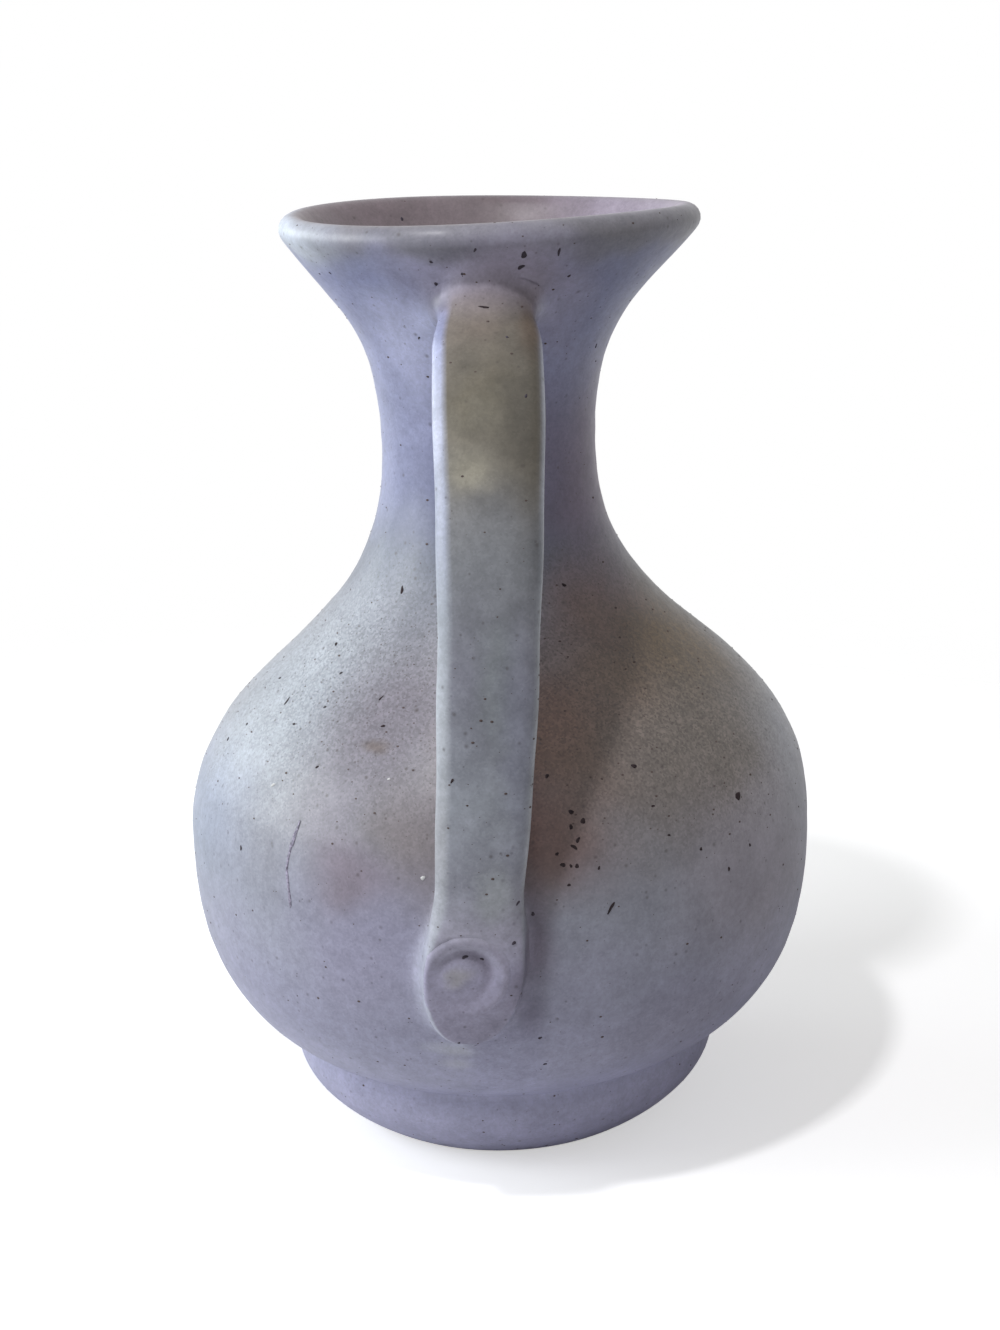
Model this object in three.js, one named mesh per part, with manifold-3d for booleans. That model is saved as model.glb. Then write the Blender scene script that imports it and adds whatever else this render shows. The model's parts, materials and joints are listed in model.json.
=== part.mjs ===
// Two-handled stoneware vase, built from the clay pieces that its maker luted together.
// Millimetres, +Z up. The origin is the middle of the foot's resting face, and the
// front handle points towards -Y.
import * as THREE from 'three';
import { mergeVertices } from 'three/addons/utils/BufferGeometryUtils.js';
import Module from 'manifold-3d';

// Body outline
const VASE_HEIGHT = 210;
const WALL = 5;
const BELLY_RADIUS = 72.2;
const BELLY_HEIGHT = 71.2;
const NECK_RADIUS = 24.1;
const NECK_HEIGHT = 157.4;
const NECK_JOINT_HEIGHT = 128;
const LIP_RADIUS = 46.3;
const LIP_ROLL_RADIUS = 3.1;
const FLARE_ANGLE = 38.4;

// How far each stretch of the outline keeps its end direction, as a share of its height
const BOWL_LEAVE_ANGLE = 61.8;
const BOWL_LEAVE_EASE = 0.48;
const BOWL_BELLY_EASE = 0.365;
const SHOULDER_BELLY_EASE = 0.472;
const SHOULDER_NECK_EASE = 0.536;
const FLARE_NECK_EASE = 0.605;
const FLARE_LIP_EASE = 0.427;

// Foot and floor
const FOOT_CONTACT_RADIUS = 37.5;
const FOOT_CONTACT_WIDTH = 8.5;
const FOOT_HEIGHT = 20.7;
const FOOT_SWELL = 10.3;
const CREASE_RADIUS = 49.8;
const FOOT_SEAT_WIDTH = 9.8;
const FLOOR_THICKNESS = 8;
const FLOOR_SINK = 3.7;
const FLOOR_FLAT_RADIUS = 16;
const FLOOR_EASE = 0.43;
const BOWL_INSIDE_EASE = 0.54;

// Keyed joints between the thrown sections
const SLIP_GAP = 0.3;
const KEY_WIDTH = 1.8;
const KEY_HEIGHT = 1.5;

// Strap handles
const STRAP_ROOT_DROP = 18;
const STRAP_ROOT_REACH = 24;
const STRAP_TURN_HEIGHT = 45;
const STRAP_STANDOFF = 3.8;
const STRAP_RISE = 34;
const STRAP_DROP_EASE = 24;
const STRAP_LANDING_EASE = 20;
const STRAP_ROOT_WIDTH = 22.6;
const STRAP_WAIST_WIDTH = 18.4;
const STRAP_THICKNESS = 7;
const STRAP_DRIFT = 6.5;
const PAD_WIDTH = 20.6;
const PAD_BELOW_BELLY = 9.2;
const PAD_TIP_LENGTH = 17;
const PAD_TIP_WIDTH = 8;
const PAD_TIP_THICKNESS = 5;
const PAD_TIP_STANDOFF = 0.5;

// Roundels
const ROUNDEL_RADIUS = 7.6;
const ROUNDEL_STRETCH = 1.16;
const ROUNDEL_SHIFT = 2;
const ROUNDEL_SEAT_DEPTH = 1.5;
const ROUNDEL_RING_HEIGHT = 1.1;
const ROUNDEL_RING_WIDTH = 2.6;
const ROUNDEL_BOSS_RADIUS = 2.7;
const ROUNDEL_BOSS_HEIGHT = 1.4;
const ROUNDEL_GROOVE_DEPTH = 0.8;

// Luting clay
const UPPER_LUTING_LENGTH = 11;
const UPPER_LUTING_SPREAD = 5;
const LUTING_EDGE = 0.7;
const LOWER_LUTING_SPREAD = 3.8;
const LOWER_LUTING_STEP = 2;

// Facets
const TURNING_STEPS = 40;
const OUTLINE_STEPS = 7;
const STRAP_FACETS = 16;
const EAR_STEPS = 11;
const PAD_STEPS = 11;
const PAD_CROWDING = 1.5;
const ROUNDEL_STEPS = 24;
const ROUNDEL_RING_STEPS = 6;
const ROUNDEL_BOSS_STEPS = 3;
const HALVINGS = 40;

const wasm = await Module();
wasm.setup();

const v2 = (radius, height) => new THREE.Vector2(radius, height);
const lerp = THREE.MathUtils.lerp;
const radians = THREE.MathUtils.degToRad;

// Turned outlines

const crease = v2(CREASE_RADIUS, FOOT_HEIGHT);
const belly = v2(BELLY_RADIUS, BELLY_HEIGHT);
const waist = v2(NECK_RADIUS, NECK_HEIGHT);
const lipCentre = v2(LIP_RADIUS - LIP_ROLL_RADIUS, VASE_HEIGHT - LIP_ROLL_RADIUS);
const flareAlong = v2(Math.sin(radians(FLARE_ANGLE)), Math.cos(radians(FLARE_ANGLE)));
const flareOut = v2(flareAlong.y, -flareAlong.x);
const flareEnd = lipCentre.clone().addScaledVector(flareOut, LIP_ROLL_RADIUS);

function bowlOutline() {
  const rise = BELLY_HEIGHT - FOOT_HEIGHT;
  const leave = radians(BOWL_LEAVE_ANGLE);
  const reach = BOWL_LEAVE_EASE * rise;
  const leaving = v2(CREASE_RADIUS + reach * Math.sin(leave), FOOT_HEIGHT + reach * Math.cos(leave));
  const arriving = v2(BELLY_RADIUS, BELLY_HEIGHT - BOWL_BELLY_EASE * rise);
  return new THREE.CubicBezierCurve(crease, leaving, arriving, belly);
}

function shoulderOutline() {
  const rise = NECK_HEIGHT - BELLY_HEIGHT;
  const leaving = v2(BELLY_RADIUS, BELLY_HEIGHT + SHOULDER_BELLY_EASE * rise);
  const arriving = v2(NECK_RADIUS, NECK_HEIGHT - SHOULDER_NECK_EASE * rise);
  return new THREE.CubicBezierCurve(belly, leaving, arriving, waist);
}

function flareOutline() {
  const rise = flareEnd.y - NECK_HEIGHT;
  const leaving = v2(NECK_RADIUS, NECK_HEIGHT + FLARE_NECK_EASE * rise);
  const arriving = flareEnd.clone().addScaledVector(flareAlong, -FLARE_LIP_EASE * rise);
  return new THREE.CubicBezierCurve(waist, leaving, arriving, flareEnd);
}

const bowlCurve = bowlOutline();
const shoulderCurve = shoulderOutline();
const flareCurve = flareOutline();
const neckJoint = stationAtHeight(shoulderCurve, NECK_JOINT_HEIGHT);

// The share along a curve, rising or falling, at which it reaches a height
function stationAtHeight(curve, height) {
  const rising = curve.getPoint(1).y > curve.getPoint(0).y;
  let low = 0;
  let high = 1;
  for (let halving = 0; halving < HALVINGS; halving += 1) {
    const middle = (low + high) / 2;
    const below = curve.getPoint(middle).y < height;
    if (below === rising) low = middle;
    else high = middle;
  }
  return (low + high) / 2;
}

function bodyRadius(height) {
  const curve = [bowlCurve, shoulderCurve, flareCurve].find((c) => height <= c.getPoint(1).y) ?? flareCurve;
  return curve.getPoint(stationAtHeight(curve, height)).x;
}

function outwardNormal(curve, station) {
  const along = curve.getTangent(station);
  return v2(along.y, -along.x);
}

// Points along a stretch of an outline, moved outwards by an offset
function stretch(curve, from, to, offset) {
  const points = [];
  for (let step = 0; step <= OUTLINE_STEPS; step += 1) {
    const station = lerp(from, to, step / OUTLINE_STEPS);
    points.push(curve.getPoint(station).addScaledVector(outwardNormal(curve, station), offset));
  }
  return points;
}

function jointFrame(curve, station) {
  const along = curve.getTangent(station);
  return { start: curve.getPoint(station), out: v2(along.y, -along.x), along };
}

// Section edge from the outer face to the inner one: a raised key, or with a clearance its slot
function keyedEdge({ start, out, along }, clearance) {
  const edge = start.clone().addScaledVector(along, clearance);
  const halfKey = KEY_WIDTH / 2 + clearance;
  const place = (inwards, rise) => edge.clone().addScaledVector(out, -inwards).addScaledVector(along, rise);
  return [
    place(0, 0),
    place(WALL / 2 - halfKey, 0),
    place(WALL / 2 - halfKey, KEY_HEIGHT),
    place(WALL / 2 + halfKey, KEY_HEIGHT),
    place(WALL / 2 + halfKey, 0),
    place(WALL, 0),
  ];
}

const raisedKey = (frame) => keyedEdge(frame, 0);
const keySlot = (frame) => keyedEdge(frame, SLIP_GAP);

const bellyFrame = jointFrame(shoulderCurve, 0);
const neckFrame = jointFrame(shoulderCurve, neckJoint);
const lipFrame = { start: flareEnd, out: flareOut, along: flareAlong };

function turned(points, steps) {
  return new THREE.LatheGeometry(points, steps).rotateX(Math.PI / 2);
}

function closed(points) {
  return [...points, points[0].clone()];
}

// Thrown sections

const floorTop = FOOT_HEIGHT - FLOOR_SINK;
const recessDepth = floorTop - FLOOR_THICKNESS;
const plugRadius = CREASE_RADIUS - FOOT_SEAT_WIDTH;
const recessRadius = FOOT_CONTACT_RADIUS - FOOT_CONTACT_WIDTH;

function footRing() {
  const seat = FOOT_HEIGHT - SLIP_GAP;
  const bore = plugRadius + SLIP_GAP;
  const ledge = recessDepth - SLIP_GAP;
  const swell = v2((FOOT_CONTACT_RADIUS + CREASE_RADIUS) / 2 + FOOT_SWELL, seat / 2);
  const side = new THREE.QuadraticBezierCurve(v2(FOOT_CONTACT_RADIUS, 0), swell, v2(CREASE_RADIUS, seat));
  const inside = [v2(bore, seat), v2(bore, ledge), v2(recessRadius, ledge), v2(recessRadius, 0)];
  return turned(closed([...side.getPoints(OUTLINE_STEPS), ...inside]), TURNING_STEPS);
}

function bowl() {
  const innerBelly = v2(BELLY_RADIUS - WALL, BELLY_HEIGHT);
  const floorEdge = v2(FLOOR_FLAT_RADIUS, floorTop);
  const wallFoot = v2(innerBelly.x, BELLY_HEIGHT - BOWL_INSIDE_EASE * (BELLY_HEIGHT - floorTop));
  const floorRun = v2(lerp(FLOOR_FLAT_RADIUS, innerBelly.x, FLOOR_EASE), floorTop);
  const inside = new THREE.CubicBezierCurve(innerBelly, wallFoot, floorRun, floorEdge);
  const plug = [v2(0, recessDepth), v2(plugRadius, recessDepth), v2(plugRadius, FOOT_HEIGHT)];
  const outside = stretch(bowlCurve, 0, 1, 0);
  const rim = raisedKey(bellyFrame).slice(1, -1);
  const hollow = inside.getPoints(OUTLINE_STEPS);
  return turned([...plug, ...outside, ...rim, ...hollow, v2(0, floorTop)], TURNING_STEPS);
}

function shoulder() {
  const outside = stretch(shoulderCurve, 0, neckJoint, 0).slice(1);
  const inside = stretch(shoulderCurve, neckJoint, 0, -WALL).slice(1, -1);
  const rim = raisedKey(neckFrame).slice(1);
  const seat = keySlot(bellyFrame).reverse();
  return turned(closed([...outside, ...rim, ...inside, ...seat]), TURNING_STEPS);
}

function neck() {
  const collarOutside = stretch(shoulderCurve, neckJoint, 1, 0).slice(1);
  const flareOutside = stretch(flareCurve, 0, 1, 0).slice(1);
  const flareInside = stretch(flareCurve, 1, 0, -WALL).slice(1);
  const collarInside = stretch(shoulderCurve, 1, neckJoint, -WALL).slice(1, -1);
  const rim = raisedKey(lipFrame).slice(1);
  const seat = keySlot(neckFrame).reverse();
  const outside = [...collarOutside, ...flareOutside];
  const inside = [...flareInside, ...collarInside];
  return turned(closed([...outside, ...rim, ...inside, ...seat]), TURNING_STEPS);
}

// Points round the lip's roll, from its outer joint over the crown to its inner joint
function lipRoll(radius) {
  const start = flareOut.angle();
  const points = [];
  for (let step = 1; step <= OUTLINE_STEPS; step += 1) {
    const angle = start + (Math.PI * step) / OUTLINE_STEPS;
    points.push(v2(lipCentre.x + radius * Math.cos(angle), lipCentre.y + radius * Math.sin(angle)));
  }
  return points;
}

function lip() {
  const roll = lipRoll(LIP_ROLL_RADIUS);
  roll.at(-1).addScaledVector(flareAlong, SLIP_GAP);
  return turned(closed([...roll, ...keySlot(lipFrame).reverse()]), TURNING_STEPS);
}

// Solids that cut and are cut

function solidOf(geometry) {
  const bare = geometry.index ? geometry.toNonIndexed() : geometry.clone();
  bare.deleteAttribute('normal');
  bare.deleteAttribute('uv');
  const merged = mergeVertices(bare);
  const corners = merged.index.array;
  const triangles = [];
  for (let first = 0; first < corners.length; first += 3) {
    const [a, b, c] = corners.slice(first, first + 3);
    if (a !== b && b !== c && c !== a) triangles.push(a, b, c);
  }
  const vertProperties = new Float32Array(merged.attributes.position.array);
  const triVerts = new Uint32Array(triangles);
  return new wasm.Manifold(new wasm.Mesh({ numProp: 3, vertProperties, triVerts }));
}

function geometryOf(solid) {
  const mesh = solid.getMesh();
  const geometry = new THREE.BufferGeometry();
  geometry.setAttribute('position', new THREE.BufferAttribute(mesh.vertProperties, 3));
  geometry.setIndex(new THREE.BufferAttribute(mesh.triVerts, 1));
  return geometry;
}

// The body as one filled solid, standing out by the slip gap, that shapes the handles' ends
function bodyCutter() {
  const outline = [
    ...stretch(bowlCurve, 0, 1, SLIP_GAP),
    ...stretch(shoulderCurve, 0, neckJoint, SLIP_GAP).slice(1),
    ...stretch(shoulderCurve, neckJoint, 1, SLIP_GAP).slice(1),
    ...stretch(flareCurve, 0, 1, SLIP_GAP).slice(1),
    ...lipRoll(LIP_ROLL_RADIUS + SLIP_GAP),
  ];
  const foot = v2(0, outline[0].y);
  const top = v2(0, outline.at(-1).y);
  return solidOf(turned([foot, ...outline, top], TURNING_STEPS));
}

// Closed skin through rings of points, with a fan over each end
function loft(rings) {
  const count = rings[0].length;
  const middles = [rings[0], rings.at(-1)].map((ring) =>
    ring.reduce((sum, point) => sum.add(point), new THREE.Vector3()).divideScalar(count));
  const firstMiddle = rings.length * count;
  const triangles = [];
  for (let k = 0; k < count; k += 1) {
    const next = (k + 1) % count;
    for (let ring = 0; ring + 1 < rings.length; ring += 1) {
      const low = ring * count;
      const high = low + count;
      triangles.push(low + k, low + next, high + next, low + k, high + next, high + k);
    }
    const last = firstMiddle - count;
    triangles.push(firstMiddle, next, k, firstMiddle + 1, last + k, last + next);
  }
  const geometry = new THREE.BufferGeometry().setFromPoints([...rings.flat(), ...middles]);
  geometry.setIndex(triangles);
  return geometry;
}

// Strap handle, drawn in the plane of its radius and height

const rootHeight = VASE_HEIGHT - STRAP_ROOT_DROP;
const padHeight = BELLY_HEIGHT - PAD_BELOW_BELLY;
const tipHeight = padHeight - PAD_TIP_LENGTH;
const rootDepth = STRAP_ROOT_WIDTH / 2;

function strapCentreline() {
  const reach = BELLY_RADIUS + STRAP_STANDOFF;
  const root = v2(bodyRadius(rootHeight) - rootDepth, rootHeight);
  const upright = v2(reach, BELLY_HEIGHT + STRAP_RISE);
  const tip = v2(bodyRadius(tipHeight) + PAD_TIP_STANDOFF, tipHeight);
  const tipStation = stationAtHeight(bowlCurve, tipHeight);
  const landing = bowlCurve.getTangent(tipStation).multiplyScalar(STRAP_LANDING_EASE).add(tip);
  const leaving = v2(root.x + rootDepth + STRAP_ROOT_REACH, rootHeight);
  const turning = v2(reach, upright.y + STRAP_TURN_HEIGHT);
  const dropping = v2(reach, upright.y - STRAP_DROP_EASE);
  const line = new THREE.CurvePath();
  line.add(new THREE.CubicBezierCurve(root, leaving, turning, upright));
  line.add(new THREE.CubicBezierCurve(upright, dropping, landing, tip));
  return line;
}

const centreline = strapCentreline();
const earShare = centreline.getCurveLengths()[0] / centreline.getLength();
const padShare = stationAtHeight(centreline, padHeight);

function strapWidth(height) {
  if (height < padHeight) {
    const share = (padHeight - height) / PAD_TIP_LENGTH;
    return lerp(PAD_TIP_WIDTH, PAD_WIDTH, Math.sqrt(Math.max(0, 1 - share * share)));
  }
  const padTop = BELLY_HEIGHT + PAD_BELOW_BELLY;
  if (height < padTop) return lerp(PAD_WIDTH, STRAP_WAIST_WIDTH, (height - padHeight) / (padTop - padHeight));
  return lerp(STRAP_WAIST_WIDTH, STRAP_ROOT_WIDTH, (height - padTop) / (rootHeight - padTop));
}

function strapThickness(height) {
  if (height > padHeight) return STRAP_THICKNESS;
  return lerp(STRAP_THICKNESS, PAD_TIP_THICKNESS, (padHeight - height) / PAD_TIP_LENGTH);
}

const strapDrift = (height) => -STRAP_DRIFT * ((rootHeight - height) / (rootHeight - padHeight)) ** 2;

// A ring of the strap's soft-cornered section at one place along it, grown across and outwards
function strapRing(share, growAcross, growOut) {
  const middle = centreline.getPoint(share);
  const along = centreline.getTangent(share);
  const out = v2(-along.y, along.x);
  const halfWidth = strapWidth(middle.y) / 2 + growAcross;
  const halfThickness = strapThickness(middle.y) / 2 + growOut;
  const drift = strapDrift(middle.y);
  const soft = (value) => Math.sign(value) * Math.sqrt(Math.abs(value));
  const ring = [];
  for (let facet = 0; facet < STRAP_FACETS; facet += 1) {
    const angle = (2 * Math.PI * (facet + 0.5)) / STRAP_FACETS;
    const side = drift + halfWidth * soft(Math.cos(angle));
    const point = middle.clone().addScaledVector(out, halfThickness * soft(Math.sin(angle)));
    ring.push(new THREE.Vector3(side, -point.x, point.y));
  }
  return ring;
}

function strapRings(grow) {
  const rings = [];
  for (let step = 0; step < EAR_STEPS; step += 1) {
    rings.push(strapRing((earShare * step) / EAR_STEPS, grow, grow));
  }
  for (let step = 0; step <= PAD_STEPS; step += 1) {
    const rest = (1 - step / PAD_STEPS) ** PAD_CROWDING;
    rings.push(strapRing(1 - (1 - earShare) * rest, grow, grow));
  }
  pushTip(rings, grow);
  return rings;
}

// Moves the last ring on past the pad's tip
function pushTip(rings, distance) {
  const along = centreline.getTangent(1).multiplyScalar(distance);
  rings.at(-1).forEach((point) => point.add(new THREE.Vector3(0, -along.x, along.y)));
}

const strapSolid = (grow) => solidOf(loft(strapRings(grow)));

// Where the roundel sits on the pad's face, and the way it faces
function roundelSeat() {
  const along = centreline.getTangent(padShare);
  const face = centreline.getPoint(padShare).addScaledVector(v2(-along.y, along.x), STRAP_THICKNESS / 2);
  const side = strapDrift(padHeight) - ROUNDEL_SHIFT;
  const facing = new THREE.Vector3(0, along.y, along.x);
  return { place: new THREE.Vector3(side, -face.x, face.y), facing };
}

const seat = roundelSeat();
const seatTurn = new THREE.Quaternion().setFromUnitVectors(new THREE.Vector3(0, 0, 1), seat.facing);

function seatCutter() {
  const radius = ROUNDEL_RADIUS + SLIP_GAP;
  const outline = [v2(0, -ROUNDEL_SEAT_DEPTH), v2(radius, -ROUNDEL_SEAT_DEPTH), v2(radius, STRAP_THICKNESS)];
  const cutter = turned([...outline, v2(0, STRAP_THICKNESS)], ROUNDEL_STEPS).scale(1, ROUNDEL_STRETCH, 1);
  return solidOf(cutter.applyQuaternion(seatTurn).translate(...seat.place));
}

function strap() {
  return geometryOf(strapSolid(0).subtract(bodyCutter()).subtract(seatCutter()));
}

// Disc, taller than wide, with a raised ring at its edge, a groove and a boss in the middle
function roundel() {
  const base = SLIP_GAP - ROUNDEL_SEAT_DEPTH;
  const ringMiddle = ROUNDEL_RADIUS - ROUNDEL_RING_WIDTH / 2;
  const ringInside = ROUNDEL_RADIUS - ROUNDEL_RING_WIDTH;
  const groove = ROUNDEL_RING_HEIGHT - ROUNDEL_GROOVE_DEPTH;
  const ringTop = v2(ringMiddle, 2 * ROUNDEL_RING_HEIGHT - groove / 2);
  const ring = new THREE.QuadraticBezierCurve(v2(ROUNDEL_RADIUS, 0), ringTop, v2(ringInside, groove));
  const bossSide = v2(ROUNDEL_BOSS_RADIUS / 2, ROUNDEL_BOSS_HEIGHT);
  const bossTop = v2(0, ROUNDEL_BOSS_HEIGHT);
  const boss = new THREE.QuadraticBezierCurve(v2(ROUNDEL_BOSS_RADIUS, groove), bossSide, bossTop);
  const underside = [v2(0, base), v2(ROUNDEL_RADIUS, base)];
  const face = [...ring.getPoints(ROUNDEL_RING_STEPS), ...boss.getPoints(ROUNDEL_BOSS_STEPS)];
  return turned([...underside, ...face], ROUNDEL_STEPS).scale(1, ROUNDEL_STRETCH, 1);
}

// Collar of clay round the strap's root, widest at the neck
function upperLuting() {
  const length = centreline.getLength();
  const rings = [];
  for (let step = 0; step <= OUTLINE_STEPS; step += 1) {
    const share = step / OUTLINE_STEPS;
    const spread = LUTING_EDGE + UPPER_LUTING_SPREAD * (1 - share) ** 2;
    rings.push(strapRing((share * (rootDepth + UPPER_LUTING_LENGTH)) / length, spread, spread));
  }
  const collar = solidOf(loft(rings));
  return geometryOf(collar.subtract(strapSolid(SLIP_GAP)).subtract(bodyCutter()));
}

// Cup of clay worked in round the lower half of the pad, a step below the pad's face
function lowerLuting() {
  const rings = [];
  for (let step = 0; step <= PAD_STEPS; step += 1) {
    const rest = (1 - step / PAD_STEPS) ** PAD_CROWDING;
    rings.push(strapRing(1 - (1 - padShare) * rest, LOWER_LUTING_SPREAD, -LOWER_LUTING_STEP));
  }
  pushTip(rings, LOWER_LUTING_SPREAD);
  const cup = solidOf(loft(rings));
  return geometryOf(cup.subtract(strapSolid(SLIP_GAP)).subtract(bodyCutter()));
}

// Glazes

const glaze = (color, roughness) => new THREE.MeshStandardMaterial({ color, roughness, metalness: 0 });
const lavender = () => glaze(0x8f8aa8, 0.5);
const greyGreen = () => glaze(0x8e8c92, 0.55);
const blueGrey = () => glaze(0x7f8599, 0.45);
const olive = () => glaze(0x858480, 0.5);

function named(name, geometry, material) {
  const mesh = new THREE.Mesh(geometry, material);
  mesh.name = name;
  return mesh;
}

// One handle with its roundel and luting clay, turned round the vase's axis
function handle(side, turn) {
  const set = new THREE.Group();
  const disc = named(`${side}_roundel`, roundel(), blueGrey());
  disc.position.copy(seat.place);
  disc.quaternion.copy(seatTurn);
  set.add(named(`${side}_strap`, strap(), olive()), disc);
  set.add(named(`${side}_upper_luting`, upperLuting(), olive()));
  set.add(named(`${side}_lower_luting`, lowerLuting(), lavender()));
  set.rotation.z = turn;
  return set;
}

const vase = new THREE.Group();
vase.add(
  named('foot_ring', footRing(), lavender()),
  named('bowl', bowl(), lavender()),
  named('shoulder', shoulder(), greyGreen()),
  named('neck', neck(), lavender()),
  named('lip', lip(), blueGrey()),
  handle('front', 0),
  handle('rear', Math.PI),
);

export default vase;
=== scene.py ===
# %% [markdown]
# # A two-handled stoneware vase in a satin lavender glaze
# The real vase was thrown on a wheel, given two pulled strap handles, and dipped in one satin
# glaze that runs from lavender to grey green, olive and brown. This lesson dresses the packed
# solids in the surfaces that the eye sees. The solids stay as they are and give the sizes, so
# every length below is in metres, unless a comment says otherwise, and in their frame: +Z up, the
# foot on the floor, one handle on the side of -Y, where the camera stands.

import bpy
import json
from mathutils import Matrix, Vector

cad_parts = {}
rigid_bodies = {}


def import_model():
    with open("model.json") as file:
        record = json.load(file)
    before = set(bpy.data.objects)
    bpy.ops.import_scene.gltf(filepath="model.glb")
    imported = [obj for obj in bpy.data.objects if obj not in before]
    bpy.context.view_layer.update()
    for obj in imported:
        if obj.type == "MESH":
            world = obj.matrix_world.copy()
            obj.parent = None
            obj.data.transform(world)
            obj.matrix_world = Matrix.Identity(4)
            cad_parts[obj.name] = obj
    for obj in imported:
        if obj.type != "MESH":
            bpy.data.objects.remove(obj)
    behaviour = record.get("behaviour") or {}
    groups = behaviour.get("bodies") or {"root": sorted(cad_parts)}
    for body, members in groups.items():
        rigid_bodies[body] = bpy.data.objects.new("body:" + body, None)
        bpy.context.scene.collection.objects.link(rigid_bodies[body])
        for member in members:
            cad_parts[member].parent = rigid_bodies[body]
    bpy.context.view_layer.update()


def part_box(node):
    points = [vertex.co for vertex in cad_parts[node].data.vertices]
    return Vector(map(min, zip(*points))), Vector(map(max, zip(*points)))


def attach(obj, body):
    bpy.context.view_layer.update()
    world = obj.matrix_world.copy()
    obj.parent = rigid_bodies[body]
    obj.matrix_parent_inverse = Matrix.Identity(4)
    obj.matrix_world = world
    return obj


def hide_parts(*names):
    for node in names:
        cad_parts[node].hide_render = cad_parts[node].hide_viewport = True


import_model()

import json
import math

import bmesh
import bpy
import numpy as np
from mathutils import Matrix, Vector
from mathutils.bvhtree import BVHTree

scene = bpy.context.scene
scene.view_settings.view_transform = "Standard"

# %% [markdown]
# ## The camera
# The camera comes first, because some marks on the glaze are placed by looking through it. It
# stands in front of one handle, a little above the lip, and looks down at about 16 degrees. A
# matrix of two turns, the dip and then a slight roll about the line of sight, says this more
# plainly than Euler angles would. The picture counts as 1000 by 1330 pixels.

# %% Place the camera
IMAGE_WIDE = 1000
IMAGE_TALL = 1330
CAMERA_PLACE = Vector((0, -0.462, 0.2414))
CAMERA_DIP = math.radians(16.39)
CAMERA_ROLL = math.radians(-1.67)
FOCAL_PIXELS = 2065.2
AXIS_COLUMN = 496.55
SENSOR = 36
NEAREST_SEEN = 0.01

camera_turn = Matrix.Rotation(math.pi / 2 - CAMERA_DIP, 3, "X") @ Matrix.Rotation(CAMERA_ROLL, 3, "Z")
lens = bpy.data.cameras.new("camera")
lens.sensor_width = SENSOR
lens.lens = SENSOR * FOCAL_PIXELS / IMAGE_TALL
lens.shift_x = (IMAGE_WIDE / 2 - AXIS_COLUMN) / IMAGE_TALL
lens.clip_start = NEAREST_SEEN
camera = bpy.data.objects.new("camera", lens)
camera.matrix_world = Matrix.Translation(CAMERA_PLACE) @ camera_turn.to_4x4()
scene.collection.objects.link(camera)
scene.camera = camera
print("lens:", round(lens.lens, 1), "mm, shift:", round(lens.shift_x, 4))

# %% [markdown]
# ## The thrown wall's outline
# A thrown pot is one outline spun round an axis: foot, bowl, shoulder, flaring neck and a rolled
# lip outside, and the same wall about 5 mm further in. Each stretch is one Bezier curve with a
# few sizes that a potter could measure. The three that set its scale are read off the solids.
# A run of points every quarter millimetre is then softened, because fingers, a sponge and the
# glaze leave no sharp corner anywhere.

# %% Sizes of the outline
MILLIMETRE = 0.001
LIP_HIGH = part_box("lip")[1]
VASE_HEIGHT = LIP_HIGH.z
LIP_RADIUS = LIP_HIGH.x
BELLY_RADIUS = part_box("shoulder")[1].x
BELLY_HEIGHT = 0.0712
NECK_RADIUS = 0.0241
NECK_HEIGHT = 0.1574
LIP_ROLL = 0.0031
FLARE_ANGLE = math.radians(38.4)
FOOT_HEIGHT = 0.0207
FOOT_RADIUS = 0.0375
FOOT_SWELL = 0.0103
CREASE_RADIUS = 0.0498
BOWL_ANGLE = math.radians(61.8)
# How far each curve keeps the direction of its lower and its upper end, as shares of its rise.
BOWL_PULLS = (0.48, 0.365)
SHOULDER_PULLS = (0.472, 0.536)
FLARE_PULLS = (0.605, 0.427)
print("vase:", round(VASE_HEIGHT / MILLIMETRE), "mm tall")


# %% Draw the outer outline
def bezier(*points, steps=64):
    """Points along a Bezier curve of any degree."""
    points = np.array(points, float)
    degree = len(points) - 1
    share = np.linspace(0, 1, steps + 1)[:, None]
    weights = [math.comb(degree, i) * share**i * (1 - share) ** (degree - i) for i in range(degree + 1)]
    return sum(weight * point for weight, point in zip(weights, points))


def leaning(angle):
    """A unit step (radius, height) at an angle from the vertical."""
    return np.array([math.sin(angle), math.cos(angle)])


up = np.array([0, 1])
crease = np.array([CREASE_RADIUS, FOOT_HEIGHT])
belly = np.array([BELLY_RADIUS, BELLY_HEIGHT])
waist = np.array([NECK_RADIUS, NECK_HEIGHT])
lip_centre = np.array([LIP_RADIUS - LIP_ROLL, VASE_HEIGHT - LIP_ROLL])
flare_end = lip_centre + LIP_ROLL * np.array([math.cos(FLARE_ANGLE), -math.sin(FLARE_ANGLE)])
bowl_rise = BELLY_HEIGHT - FOOT_HEIGHT
shoulder_rise = NECK_HEIGHT - BELLY_HEIGHT
flare_rise = flare_end[1] - NECK_HEIGHT

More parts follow.
